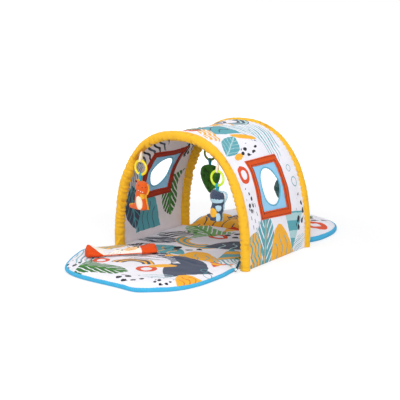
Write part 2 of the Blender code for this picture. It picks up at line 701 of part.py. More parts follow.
def make_dinosaur(label, pivot, strap, form, belly_size, edging_size, plush, patch_colour, edge_colour):
    """A stuffed dinosaur in profile: head, body on two feet, tail, felt belly and toothed felt edging in front.

    form holds the stations of head, body and tail, belly_size its centre in shares and its size in metres,
    and edging_size where the edging ends, in shares, and its width in metres.
    """
    head, body, tail = form
    head_line, body_line = in_metres(head, TOY_HEIGHT, strap), in_metres(body, TOY_HEIGHT, strap)
    head_item, head_form = stuffed_part(label + "_head", pivot, head_line, TOY_DEPTH, plush)
    body_item, body_form = stuffed_part(label + "_body", pivot, body_line, TOY_DEPTH, plush)
    tail_item, _ = stuffed_part(label + "_tail", pivot, in_metres(tail, TOY_HEIGHT, strap), TAIL_DEPTH, plush)
    foot_x, foot_z = body_line[-1][0], body_line[-1][1] + FOOT_HEIGHT * 0.4
    boolean(body_item, feet_form(label + "_feet", pivot, foot_x, foot_z, 0.0), "UNION")
    around_feet = feet_form(label + "_around_feet", pivot, foot_x, foot_z, GAP)
    boolean(head_item, body_form)
    boolean(tail_item, body_form)
    boolean(tail_item, around_feet)
    toy_strap(label, pivot, head_form, "cyan cloth", strap)

    top_z = head_line[0][1]
    across, down, width, height = belly_size
    centre = (across * TOY_HEIGHT, top_z - down * TOY_HEIGHT)
    outline = oval_prism(label + "_belly_outline", pivot, centre, width / 2, height / 2,
                         -TOY_DEPTH, -TOY_DEPTH * 0.1)
    belly = applique(label + "_belly", pivot, body_line, TOY_DEPTH, outline, patch_colour)
    boolean(belly, around_feet)

    edging_end, edging_width = edging_size
    top, low = head_line[1][1], top_z - edging_end * TOY_HEIGHT
    inner, outer = [], []
    step = (top - low) / (2 * EDGING_TEETH)
    for k in range(2 * EDGING_TEETH + 1):
        z = top - step * k
        near = [max(reach_right(head_line, z + way * step), reach_right(body_line, z + way * step))
                for way in (-0.8, 0.0, 0.8) if low <= z + way * step <= top]
        inner.append((min(near) - EDGING_DEPTH, z))
        outer.append((max(near) + (edging_width if k % 2 else edging_width * 0.6), z))
    edging = felt_edging(label + "_edging", inner + outer[::-1], pivot, edge_colour)
    boolean(edging, head_form)
    boolean(edging, body_form)


def make_leaf(pivot):
    """A flat stuffed leaf: a green front and a dark felt back, sewn together at the middle plane."""
    widest = 0.5 * LEAF_WIDTH / LEAF_HEIGHT
    shares = [(0.0, 0.0, 0.10), (0.0, 0.05, 0.26), (0.0, 0.16, 0.37), (0.0, 0.32, widest), (0.0, 0.48, 0.38),
              (0.0, 0.64, 0.31), (0.0, 0.80, 0.21), (0.0, 0.92, 0.11), (0.0, 1.0, 0.03)]
    stations = in_metres(shares, LEAF_HEIGHT, SHORT_STRAP_LENGTH)
    for name, colour, low, high in (("leaf_toy_front", "green plush", -LEAF_DEPTH, LEAF_BACK),
                                    ("leaf_toy_back", "black felt", LEAF_BACK + GAP, LEAF_DEPTH)):
        half = placed(add_part(name, stuffed_mesh(name, stations, LEAF_DEPTH), colour, 0.95), pivot)
        block = box_between((-LEAF_WIDTH, low, -2 * LEAF_HEIGHT), (LEAF_WIDTH, high, 0.0))
        cutter = add_cutter(name + "_half", mesh_from(block, name + "_half", False))
        boolean(half, placed(cutter, pivot), "INTERSECT")
    form = placed(add_cutter("leaf_form", stuffed_mesh("leaf_form", stations, LEAF_DEPTH, GAP)), pivot)
    toy_strap("leaf_toy", pivot, form, "cyan cloth", SHORT_STRAP_LENGTH)


def make_egg(pivot):
    """A stuffed egg with a felt band round its middle."""
    wide = EGG_WIDTH / EGG_HEIGHT / 2
    rings = 9
    shares = []
    for step in range(rings):
        angle = math.pi * (0.06 + 0.88 * step / (rings - 1))
        down = (1 - math.cos(angle)) / 2
        shares.append((0.0, down, wide * math.sin(angle) * (1 + 0.12 * (down - 0.5))))
    stations = in_metres(shares, EGG_HEIGHT)
    placed(add_part("egg_toy_body", stuffed_mesh("egg_toy_body", stations, TOY_DEPTH), "teal plush", 0.95), pivot)
    middle = (stations[0][1] + stations[-1][1]) / 2
    band = box_between((-EGG_WIDTH, -EGG_WIDTH, middle - EGG_BAND / 2),
                       (EGG_WIDTH, EGG_WIDTH, middle + EGG_BAND / 2))
    slab = placed(add_cutter("egg_band_outline", mesh_from(band, "egg_band_outline", False)), pivot)
    applique("egg_toy_band", pivot, stations, TOY_DEPTH, slab, "orange cloth")
    form = placed(add_cutter("egg_form", stuffed_mesh("egg_form", stations, TOY_DEPTH, GAP)), pivot)
    toy_strap("egg_toy", pivot, form, "cyan cloth")


def make_toys():
    """The four rings and what hangs from them."""
    front, rear = sleeve_envelope("front", -ARCH_PLANE), sleeve_envelope("rear", ARCH_PLANE)
    pivot = make_hanger("front_left", FRONT_LEFT_X, FRONT_LOOPS_Y, FRONT_LEFT_DROP, front, "yellow plastic")
    head = [(0.0, 0.0, 0.09), (0.005, 0.05, 0.185), (0.025, 0.13, 0.245), (0.035, 0.22, 0.258),
            (0.025, 0.32, 0.245), (0.005, 0.39, 0.205), (-0.01, 0.43, 0.14), (-0.015, 0.45, 0.07)]
    body = [(-0.07, 0.35, 0.09), (-0.07, 0.39, 0.15), (-0.06, 0.46, 0.175), (-0.035, 0.54, 0.20),
            (-0.025, 0.66, 0.22), (-0.013, 0.78, 0.238), (0.0, 0.89, 0.262), (0.0, 0.96, 0.26), (0.0, 1.0, 0.18)]
    tail = [(-0.12, 0.90, 0.10), (-0.24, 0.905, 0.10), (-0.34, 0.925, 0.078), (-0.43, 0.93, 0.06),
            (-0.51, 0.90, 0.03)]
    make_dinosaur("orange_dinosaur", pivot, TOY_STRAP_LENGTH, (head, body, tail), (0.02, 0.73, 0.028, 0.054),
                  (0.88, 0.0062), "orange cloth", "cream plush", "yellow cloth")

    pivot = make_hanger("front_right", FRONT_RIGHT_X, FRONT_LOOPS_Y, FRONT_RIGHT_DROP, front, "lime plastic")
    head = [(0.01, 0.0, 0.12), (0.0, 0.04, 0.22), (-0.006, 0.14, 0.267), (0.002, 0.24, 0.273), (0.007, 0.34, 0.265),
            (-0.005, 0.41, 0.22), (-0.015, 0.45, 0.14), (-0.02, 0.47, 0.07)]
    body = [(-0.06, 0.36, 0.09), (-0.05, 0.40, 0.16), (-0.02, 0.47, 0.20), (0.0, 0.55, 0.235), (-0.012, 0.63, 0.231),
            (-0.025, 0.73, 0.22), (-0.031, 0.85, 0.225), (-0.038, 0.95, 0.22), (-0.038, 1.0, 0.14)]
    tail = [(-0.10, 0.87, 0.10), (-0.20, 0.87, 0.095), (-0.29, 0.865, 0.075), (-0.355, 0.85, 0.05),
            (-0.385, 0.835, 0.03)]
    make_dinosaur("blue_dinosaur", pivot, SHORT_STRAP_LENGTH, (head, body, tail), (-0.075, 0.71, 0.034, 0.036),
                  (0.37, 0.013), "slate plush", "yellow cloth", "pale blue felt")

    make_leaf(make_hanger("rear_left", REAR_LEFT_X, REAR_LOOPS_Y, REAR_LEFT_DROP, rear, "green plastic"))
    make_egg(make_hanger("rear_right", REAR_RIGHT_X, REAR_LOOPS_Y, REAR_RIGHT_DROP, rear, "cyan cloth"))


# Tummy pillow


def pillow_width(share):
    """Half width of the pillow at a share of its length from its middle, 1 at either tip."""
    flare = max(0.0, (share - PILLOW_NECK) / (1 - PILLOW_NECK))
    waist = PILLOW_WIDTH / 2 * (1 - 0.16 * (share / PILLOW_NECK) ** 2) if share < PILLOW_NECK else 0.0
    neck = PILLOW_WIDTH / 2 * 0.84
    return waist or neck + (PILLOW_END_WIDTH / 2 - neck) * math.sin(flare * math.pi / 2)


def pillow_segment(low, high, steps):
    """The stretch of the pillow from low to high along its length, with a flat underside."""
    half = PILLOW_LENGTH / 2
    bm = bmesh.new()
    rows = []
    for step in range(steps + 1):
        along = low + (high - low) * step / steps
        share = abs(along) / half
        fullness = (1 - share ** 8) ** 0.5 * 0.8 + 0.2
        thickness = PILLOW_THICKNESS + PILLOW_END_RISE * max(0.0, (share - PILLOW_NECK) / (1 - PILLOW_NECK))
        row = []
        for k in range(PILLOW_SIDES):
            angle = math.tau * k / PILLOW_SIDES
            across, up = math.cos(angle), math.sin(angle)
            y = math.copysign(abs(across) ** 0.8, across) * pillow_width(share)
            z = thickness * (0.42 + 0.58 * up * fullness if up > 0 else 0.42 * (1 - abs(up) ** 0.6))
            row.append(bm.verts.new((along, y, z)))
        rows.append(row)
    for first, second in zip(rows, rows[1:]):
        for k in range(PILLOW_SIDES):
            j = (k + 1) % PILLOW_SIDES
            bm.faces.new((first[k], first[j], second[j], second[k]))
    bm.faces.new(rows[0])
    bm.faces.new(rows[-1])
    return bm


def make_pillow():
    """The long pillow and its two flared ends, lying on the front wing."""
    seam = PILLOW_LENGTH / 2 - PILLOW_END_LENGTH
    for name, low, high, steps, turn, colour in (
            ("tummy_pillow", -seam, seam, 8, 0, "cream plush"),
            ("pillow_end_near", seam + GAP, PILLOW_LENGTH / 2, 4, 180, "orange cloth"),
            ("pillow_end_far", seam + GAP, PILLOW_LENGTH / 2, 4, 0, "orange cloth")):
        item = add_part(name, mesh_from(pillow_segment(low, high, steps), name), colour, 0.95)
        item.rotation_euler = (0.0, 0.0, math.radians(PILLOW_TURN + turn))
        item.location = (PILLOW_X, PILLOW_Y, MAT_EDGE_HEIGHT + WING_CROWN + GAP)


def set_pivots():
    """Puts each wing's origin on its fold line."""
    for label, side in (("front", -1), ("rear", 1)):
        fold = Vector((0.0, side * WING_HINGE, MAT_EDGE_HEIGHT))
        for part in ("pad", "binding"):
            item = bpy.data.objects[f"{label}_wing_{part}"]
            item.data.transform(Matrix.Translation(-fold))
            item.location = fold


clear_scene()
PARTS = collection("baby_play_gym")
CUTTERS = collection("cutters")
make_floor_panel()
make_wing("front", -1)
make_wing("rear", 1)
make_arch("front", -ARCH_PLANE)
make_arch("rear", ARCH_PLANE)
make_canopy()
make_mat_straps()
make_toys()
make_pillow()
set_pivots()
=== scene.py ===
"""Looks of the baby play gym: stage and camera, then every piece in the order in which it is put together."""

import math

import bmesh
import bpy
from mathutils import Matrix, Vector, noise
from mathutils.bvhtree import BVHTree


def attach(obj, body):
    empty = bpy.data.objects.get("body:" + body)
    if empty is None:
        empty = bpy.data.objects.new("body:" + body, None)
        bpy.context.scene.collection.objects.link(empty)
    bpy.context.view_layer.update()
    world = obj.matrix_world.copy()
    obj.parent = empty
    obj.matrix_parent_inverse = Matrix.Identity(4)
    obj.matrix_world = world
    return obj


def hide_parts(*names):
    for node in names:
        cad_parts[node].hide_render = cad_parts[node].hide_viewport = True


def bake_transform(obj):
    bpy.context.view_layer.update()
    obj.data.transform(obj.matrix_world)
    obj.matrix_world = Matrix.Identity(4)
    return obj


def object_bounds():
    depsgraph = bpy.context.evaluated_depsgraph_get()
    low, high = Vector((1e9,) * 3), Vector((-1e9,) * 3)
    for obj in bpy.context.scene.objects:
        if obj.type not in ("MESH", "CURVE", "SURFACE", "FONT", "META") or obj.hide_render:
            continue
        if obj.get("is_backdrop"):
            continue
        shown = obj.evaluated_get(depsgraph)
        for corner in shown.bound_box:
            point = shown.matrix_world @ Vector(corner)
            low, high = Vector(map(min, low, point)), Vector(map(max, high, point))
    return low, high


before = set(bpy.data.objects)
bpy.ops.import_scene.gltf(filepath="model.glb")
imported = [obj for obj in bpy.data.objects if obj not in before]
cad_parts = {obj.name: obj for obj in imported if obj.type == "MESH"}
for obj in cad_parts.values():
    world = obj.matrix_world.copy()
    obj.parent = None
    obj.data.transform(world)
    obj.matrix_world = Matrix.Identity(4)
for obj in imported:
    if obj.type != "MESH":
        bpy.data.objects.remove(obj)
CAD_LOW, CAD_HIGH = (list(corner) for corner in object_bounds())


# Stage: a pale floor and backdrop that read as white, with the gym's soft shadow left on the floor.
# One large overhead light, a broad one from the right front and a weak one from the left.

def in_scene(name, data):
    """A new object with its data, linked to the scene."""
    item = bpy.data.objects.new(name, data)
    bpy.context.scene.collection.objects.link(item)
    return item


camera = in_scene("camera", bpy.data.cameras.new("camera"))
bpy.context.scene.camera = camera
camera.location = (2.465, -3.519, 1.126)
camera.rotation_euler = (math.radians(90 - 12.305), 0.0, math.radians(35.68))
camera.data.sensor_width = 36
camera.data.lens = 100.76
camera.data.clip_end = 100
bpy.context.scene.view_settings.view_transform = "Standard"


def lamp(name, place, target, size, power):
    light = bpy.data.lights.new(name, "AREA")
    light.shape = "DISK"
    light.size = size
    light.energy = power
    holder = in_scene(name, light)
    holder.location = place
    holder.rotation_euler = (Vector(target) - Vector(place)).to_track_quat("-Z", "Y").to_euler()


lamp("overhead_light", (0.3, -0.5, 2.6), (0.0, 0.0, 0.2), 2.2, 25)
lamp("right_front_light", (2.0, -2.5, 1.4), (-0.1, 0.0, 0.2), 1.6, 38)
lamp("left_fill_light", (-2.0, -2.2, 1.2), (0.0, 0.0, 0.2), 1.8, 9)


def fed(node, inputs):
    """The node with each input, by name or number, set to a value or linked to a socket."""
    for name, value in inputs.items():
        if isinstance(value, bpy.types.NodeSocket):
            node.id_data.links.new(value, node.inputs[name])
        else:
            node.inputs[name].default_value = value
    return node


def new_node(tree, kind, inputs=None, **settings):
    node = tree.nodes.new(kind)
    for name, value in settings.items():
        setattr(node, name, value)
    return fed(node, inputs or {})


def seen_directly(tree):
    """1 for rays from the camera or by way of metal or glass, and 0 for the light that falls on things."""
    path = new_node(tree, "ShaderNodeLightPath").outputs
    total = path["Is Camera Ray"]
    for label in ("Is Glossy Ray", "Is Transmission Ray"):
        total = new_node(tree, "ShaderNodeMath", {0: total, 1: path[label]}, operation="MAXIMUM").outputs[0]
    return total


world = bpy.data.worlds.new("studio")
bpy.context.scene.world = world
world.use_nodes = True
tree = world.node_tree
tree.nodes.clear()
shown = new_node(tree, "ShaderNodeBackground", {"Strength": 1.0, "Color": (1.0, 1.0, 1.0, 1.0)})
lit = new_node(tree, "ShaderNodeBackground", {"Strength": 0.56, "Color": (0.97, 0.98, 1.0, 1.0)})
pick = new_node(tree, "ShaderNodeMixShader", {"Fac": seen_directly(tree), 1: lit.outputs[0],
                                              2: shown.outputs[0]})
new_node(tree, "ShaderNodeOutputWorld", {"Surface": pick.outputs[0]})

bpy.ops.mesh.primitive_plane_add(size=40, location=(0.0, 0.0, -0.0005))
floor = bpy.context.object
floor.name = "studio_floor"
paint = bpy.data.materials.new("studio_floor")
paint.use_nodes = True
tree = paint.node_tree
tree.nodes.clear()
matt = new_node(tree, "ShaderNodeBsdfDiffuse", {"Color": (0.9, 0.9, 0.9, 1.0)})
share = new_node(tree, "ShaderNodeMath", {0: seen_directly(tree), 1: 0.55}, operation="MULTIPLY")
where = new_node(tree, "ShaderNodeTexCoord").outputs["Object"]
away = new_node(tree, "ShaderNodeVectorMath", {0: where}, operation="LENGTH")
# The floor's glow grows away from the gym, where the lamps fall off.
evened = new_node(tree, "ShaderNodeMapRange",
                  {"From Min": 0.6, "From Max": 2.0, "To Min": 1.14, "To Max": 1.9,
                   "Value": away.outputs["Value"]}, interpolation_type="SMOOTHSTEP")
glow = new_node(tree, "ShaderNodeEmission", {"Strength": evened.outputs[0]})
both = new_node(tree, "ShaderNodeMixShader", {"Fac": share.outputs[0], 1: matt.outputs[0],
                                              2: glow.outputs[0]})
new_node(tree, "ShaderNodeOutputMaterial", {"Surface": both.outputs[0]})
floor.data.materials.append(paint)
floor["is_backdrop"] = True


# Mat, a polyester cloth printed with leaves, hills and stripes over 2 cm of wadding, in three panels.
# A flat seam joins each folding wing to the floor panel, and the left edge of the front wing lifts a little.

MAT_RIM, REAR_RIM = 0.0108, 0.0160     # thickness at the front and the rear wing's edge
FLOOR_RIM = 0.0080           # thickness at the floor panel's edge
MAT_SEAM = 0.236             # wings are sewn to the floor panel this far from the middle
FOOT_WAIST = 0.270           # half width of the mat between the arches' feet
WING_LIFT = 0.022


def linear(red, green, blue):
    """A colour as the eye and a screen give it, 0 to 255, in linear light."""
    return tuple(((c / 255 + 0.055) / 1.055) ** 2.4 if c > 10 else c / 255 / 12.92
                 for c in (red, green, blue)) + (1.0,)


TEAL = linear(88, 164, 176)
PALE_TEAL = linear(172, 208, 212)
MUSTARD = linear(246, 178, 46)
SLATE = linear(66, 76, 98)
BLACK = linear(24, 24, 34)
ORANGE = linear(222, 78, 36)
PINK_GREY = linear(230, 222, 226)
GREEN = linear(48, 112, 44)
FRESH_GREEN = linear(112, 176, 92)
WHITE = linear(240, 238, 246)


class Measure:
    """A number that varies over the cloth. Sums and comparisons on it become Math nodes."""

    def __init__(self, socket):
        self.socket = socket

    def math(self, operation, *others, turned=False):
        given = [self.socket] + [getattr(other, "socket", other) for other in others]
        made = new_node(self.socket.id_data, "ShaderNodeMath",
                        dict(enumerate(given[::-1] if turned else given)), operation=operation)
        return Measure(made.outputs[0])

    __add__ = __radd__ = lambda self, other: self.math("ADD", other)
    __mul__ = __rmul__ = lambda self, other: self.math("MULTIPLY", other)
    __sub__ = lambda self, other: self.math("SUBTRACT", other)
    __rsub__ = lambda self, other: self.math("SUBTRACT", other, turned=True)
    __pow__ = lambda self, other: self.math("POWER", other)
    __abs__ = lambda self: self.math("ABSOLUTE")
    __lt__ = lambda self, other: self.math("LESS_THAN", other)
    __gt__ = lambda self, other: self.math("GREATER_THAN", other)


def radius_of(x, y):
    return (x * x + y * y).math("SQRT")


def lines(along, count, share):
    """Even stripes across a measure, each filling a share of its pitch."""
    return (along * count).math("FRACT") < share


def motif(draw):
    """Makes a node group of a print motif, which inks the cloth inside a shape on x and y from -1 to 1."""
    tree = bpy.data.node_groups.new(draw.__name__, "ShaderNodeTree")
    for label, kind in (("Cloth", "NodeSocketColor"), ("Spot", "NodeSocketVector"),
                        ("Ink", "NodeSocketColor"), ("Line ink", "NodeSocketColor")):
        tree.interface.new_socket(label, in_out="INPUT", socket_type=kind)
    tree.interface.new_socket("Cloth", in_out="OUTPUT", socket_type="NodeSocketColor")
    given = new_node(tree, "NodeGroupInput").outputs
    spot = new_node(tree, "ShaderNodeSeparateXYZ", {0: given["Spot"]}).outputs
    shape, drawn = draw(Measure(spot[0]), Measure(spot[1]))
    colour = given["Cloth"]
    for ink, mask in (("Ink", shape), ("Line ink", shape * drawn)):
        colour = new_node(tree, "ShaderNodeMix", {"Factor": mask.socket, "A": colour, "B": given[ink]},
                          data_type="RGBA").outputs["Result"]
    new_node(tree, "NodeGroupOutput", {0: colour})
    return draw


@motif
def pebble(x, y):
    return radius_of(x, y) < 1.0, 0.0


@motif
def poppy(x, y):
    radius = radius_of(x, y)
    return radius < 1.0, radius < 0.52


@motif
def leaf(x, y):
    """A pointed leaf along x, with a midrib and slanting veins in the line ink."""
    height = abs(y)
    return height < 1.0 - x * x, lines(x - height * 0.7, 2.4, 0.14).math("MAXIMUM", height < 0.07)


@motif
def frond(x, y):
    """A leaf that is slit down to its midrib."""
    height = abs(y)
    body = (height < 1.0 - x * x * x) * (abs(x) < 1.0)
    return body * lines(x - height * 0.9, 2.6, 0.74).math("MAXIMUM", height < 0.16), height < 0.035


@motif
def hill(x, y):
    """A round hill with a flat foot, hatched with wavy lines."""
    crest = 1.0 - 2.0 * (x * x)
    hatching = lines(x * 2.4 + 0.22 * (y * 5.0).math("SINE"), 1.0, 0.13)
    return (y < crest) * (y > -1.0), hatching * (y < crest - 0.5)


@motif
def stripes(x, y):
    """A patch of wavy stripes with rounded ends."""
    return abs(x) ** 4.0 + abs(y) ** 4.0 < 1.0, lines(y + 0.14 * (x * 7.0).math("SINE"), 1.7, 0.42)


@motif
def rainbow(x, y):
    radius = radius_of(x, y)
    return (radius < 1.0) * (radius > 0.42) * (y > 0.0), lines(radius, 3.6, 0.45)


@motif
def bubble(x, y):
    radius = radius_of(x, y)
    return (radius < 1.0) * (radius > 0.82), 0.0


@motif
def dashes(x, y):
    """Three rows of short dashes, each row set off from the last."""
    row = ((y + 1.0) * 1.5).math("FLOOR")
    body = (abs(x) < 1.0) * (abs(y) < 1.0)
    return body * lines(x + row * 0.37, 1.6, 0.42) * lines(y + 1.0, 1.5, 0.16), 0.0


@motif
def peak(x, y):
    """A pointed triangle with a banded top."""
    return (y < 1.0 - 2.0 * abs(x)) * (y > -1.0), lines(y, 1.1, 0.42)


@motif
def waves(x, y):
    """Long wavy lines side by side, which end in points."""
    wave = y + 0.07 * (x * 6.5).math("SINE")
    thick = 0.42 * (1.0 - x * x)
    return (radius_of(x, y) < 1.0) * ((wave * 3.2).math("FRACT") < thick), lines(wave + 0.1, 1.3, 0.4)


@motif
def spots(x, y):
    """A loose patch of uneven round spots."""
    tree = x.socket.id_data
    place = new_node(tree, "ShaderNodeCombineXYZ", {0: (x * 2.2).socket, 1: (y * 1.2).socket})
    cells = new_node(tree, "ShaderNodeTexVoronoi",
                     {"Scale": 1.0, "Randomness": 0.7, "Vector": place.outputs[0]})
    return (Measure(cells.outputs["Distance"]) < 0.42) * (radius_of(x, y) < 1.0), 0.0


def cloth_finish(name, colour, roughness=0.9, sheen=0.12, weave=0.0007, pucker=0.0):
    """A woven cloth: plain-weave relief, faint unevenness of the dye, and soft puckers where it is sewn."""
    made = bpy.data.materials.new(name)
    made.use_nodes = True
    tree = made.node_tree
    where = new_node(tree, "ShaderNodeTexCoord").outputs["Object"]
    split = new_node(tree, "ShaderNodeSeparateXYZ", {0: where})
    threads = [(Measure(axis) * (math.tau / weave)).math("SINE") for axis in split.outputs]
    relief = (threads[0] + threads[1]) * 0.3 + threads[2] * 0.3
    woven = new_node(tree, "ShaderNodeBump", {"Strength": 0.25, "Distance": weave * 0.3,
                                              "Height": relief.socket})
    dimples = new_node(tree, "ShaderNodeTexNoise", {"Scale": 34, "Detail": 3, "Vector": where}).outputs["Fac"]
    puckered = new_node(tree, "ShaderNodeBump", {"Strength": 0.5, "Distance": pucker, "Height": dimples,
                                                 "Normal": woven.outputs[0]})
    shade = new_node(tree, "ShaderNodeMapRange", {"To Min": 0.93, "To Max": 1.05, "Value": dimples})
    dyed = new_node(tree, "ShaderNodeMix", {"Factor": 1.0, "A": colour, "B": shade.outputs[0]},
                    data_type="RGBA", blend_type="MULTIPLY")
    fed(tree.nodes["Principled BSDF"],
        {"Roughness": roughness, "Sheen Weight": sheen, "Sheen Roughness": 0.5, "Specular IOR Level": 0.25,
         "Normal": puckered.outputs[0], "Base Color": dyed.outputs["Result"]})
    return made


def printed_cloth(name, base, layout):
    """Printed cloth. Each motif is (kind, x, y, degrees, half length, half height, ink, line ink)."""
    made = cloth_finish(name, base, pucker=0.0015)
    tree = made.node_tree
    where = new_node(tree, "ShaderNodeAttribute", attribute_name="flat").outputs["Vector"]
    tremble = new_node(tree, "ShaderNodeTexNoise", {"Scale": 45, "Vector": where})
    shaken = new_node(tree, "ShaderNodeVectorMath",
                      {0: tremble.outputs["Color"], 1: (0.008, 0.008, 0.0), 2: where},
                      operation="MULTIPLY_ADD")
    ink = base
    for kind, x, y, degrees, length, height, fill, drawn in layout:
        spot = new_node(tree, "ShaderNodeMapping", {
            "Vector": shaken.outputs[0], "Location": (x + 0.004, y + 0.004, 0.0),
            "Rotation": (0.0, 0.0, math.radians(degrees)), "Scale": (length, height, 1.0)},
            vector_type="TEXTURE")
        ink = new_node(tree, "ShaderNodeGroup",
                       {"Cloth": ink, "Spot": spot.outputs[0], "Ink": fill, "Line ink": drawn},
                       node_tree=bpy.data.node_groups[kind]).outputs[0]
    fed(next(node for node in tree.nodes if node.type == "MIX"), {"A": ink})
    return made


def mesh_of(name, points, faces, finish, smooth=True):
    """A mesh object from its points and faces, with its faces turned outwards."""
    data = bpy.data.meshes.new(name)
    data.from_pydata([tuple(point) for point in points], [], faces)
    bm = bmesh.new()
    bm.from_mesh(data)
    bmesh.ops.recalc_face_normals(bm, faces=bm.faces)
    bm.to_mesh(data)
    bm.free()
    data.materials.append(finish)
    if smooth:
        data.shade_smooth()
    return in_scene(name, data)


def lofted(name, rings, finish, closed_path=False):
    """A skin over rings of equal counts. A ring of one point closes an end to a pole."""
    points, starts, faces = [], [], []
    for ring in rings:
        starts.append(len(points))
        points.extend(ring)
    for first in range(len(rings) if closed_path else len(rings) - 1):
        second = (first + 1) % len(rings)
        a, b = starts[first], starts[second]
        count = max(len(rings[first]), len(rings[second]))
        for k in range(count):
            j = (k + 1) % count
            if len(rings[first]) == 1:
                faces.append((a, b + k, b + j))
            elif len(rings[second]) == 1:
                faces.append((a + k, b, a + j))
            else:
                faces.append((a + k, b + k, b + j, a + j))
    return mesh_of(name, points, faces, finish)


def lay_flat(item, places):
    """Stores each point's place on the flat cloth, which the print reads."""
    stored = item.data.attributes.new("flat", "FLOAT_VECTOR", "POINT")
    stored.data.foreach_set("vector", [value for place in places for value in place])


def clamped(value):
    return min(1.0, max(0.0, value))


def eased(share):
    """From 0 to 1 with a gentle start and stop."""
    return share * share * (3 - 2 * share)


def bell(off, width):
    """1 where off is 0, fading to both sides over a width."""
    return math.exp(-(off / width) ** 2)


def signed_power(value, power):
    """A value raised to a power with its sign kept, which squares off a round."""
    return math.copysign(abs(value) ** power, value)


def rough(x, y, z):
    """Soft unevenness between -1 and 1."""
    return noise.noise(Vector((x, y, z)))


def wing_edge(side):
    """The wing's outline from the right foot round to the left one, as points on the floor."""
    reach, width_left, width_right = (0.652, 0.300, 0.2820) if side < 0 else (0.630, 0.294, 0.296)
    square_left, square_right = (3.2, 3.1) if side < 0 else (2.7, 2.8)
    start = 0.345

    def shoulder(way, width):
        return [Vector((way * (FOOT_WAIST + (width - FOOT_WAIST) * eased(step / 8)),
                        side * (MAT_SEAM + (start - MAT_SEAM) * step / 8))) for step in range(8)]

    edge = shoulder(1, width_right)
    for step in range(201):
        angle = math.pi * step / 200
        across, out = math.cos(angle), abs(math.sin(angle))
        width, power = (width_right, 2 / square_right) if across > 0 else (width_left, 2 / square_left)
        corner = 0.017 * bell(angle - 1.26, 0.19) if side < 0 else 0.0
        edge.append(Vector((signed_power(across, power) * width + corner * 0.3,
                            side * (start + (reach - start) * out ** power + corner))))
    return edge + shoulder(-1, width_left)[::-1]


def lift_at(x, y):
    """How far the front wing's left edge curls off the floor."""
    return WING_LIFT * clamped((-x - 0.13) / 0.17) ** 2 * bell(y + 0.42, 0.10)


def mat_top(x, y, share):
    """Height of the mat's upper face. Share is 1 at the panel's edge and 0 in its middle."""
    puffed = clamped((abs(y) - 0.20) / 0.08)
    rim = FLOOR_RIM + ((MAT_RIM if y < 0 else REAR_RIM) - FLOOR_RIM) * puffed
    crown = (0.0080 + 0.0125 * puffed) * (1 - share ** 11)
    soft = rough(x * 6, y * 6, 2.0) * 0.0046 + rough(x * 17, y * 17, 5.0) * 0.0034
    soft += rough(x * 42, y * 42, 8.0) * 0.0044 * share ** 6
    crease = 0.0040 * bell(abs(y) - MAT_SEAM, 0.007)
    fold = sum(0.0042 * bell(y - at - lean * x + 0.03 * math.sin(x * 9 + at * 40), 0.008)
               for at, lean in ((-0.34, 0.12), (-0.10, 0.35), (0.09, -0.2), (0.40, 0.1)))
    return rim + crown + soft * (1 - share ** 24) - crease - fold * (1 - share ** 4)


def mat_panel(name, edge, centre):
    """A padded panel over its outline: flat below, a rounded rim, and the soft top."""
    def ring(share, height=None):
        places = [centre + (point - centre) * share for point in edge]
        return [(x, y, (mat_top(x, y, share) if height is None else height) + lift_at(x, y))
                for x, y in places]

    rings = [[(*centre, 0.0)]] + [ring(share, 0.0) for share in (0.3, 0.6, 0.8, 0.9, 0.985)]
    rings += [ring(0.994, 0.002), ring(0.998, FLOOR_RIM * 0.5), ring(0.996, FLOOR_RIM * 0.85)]
    rings += [ring(0.992 * (1 - step / 48)) for step in range(48)] + [[(*centre, mat_top(*centre, 0.0))]]
    item = lofted(name, rings, mat_print)
    item.data.materials.append(mat_backing)
    for polygon in item.data.polygons:
        polygon.material_index = int(polygon.normal.z < -0.5)
    lay_flat(item, [vertex.co for vertex in item.data.vertices])
    return item


def closed_by(edge, count):
    """The outline with its straight side filled in with even points."""
    first, last = edge[-1], edge[0]
    return edge + [first + (last - first) * k / count for k in range(1, count)]


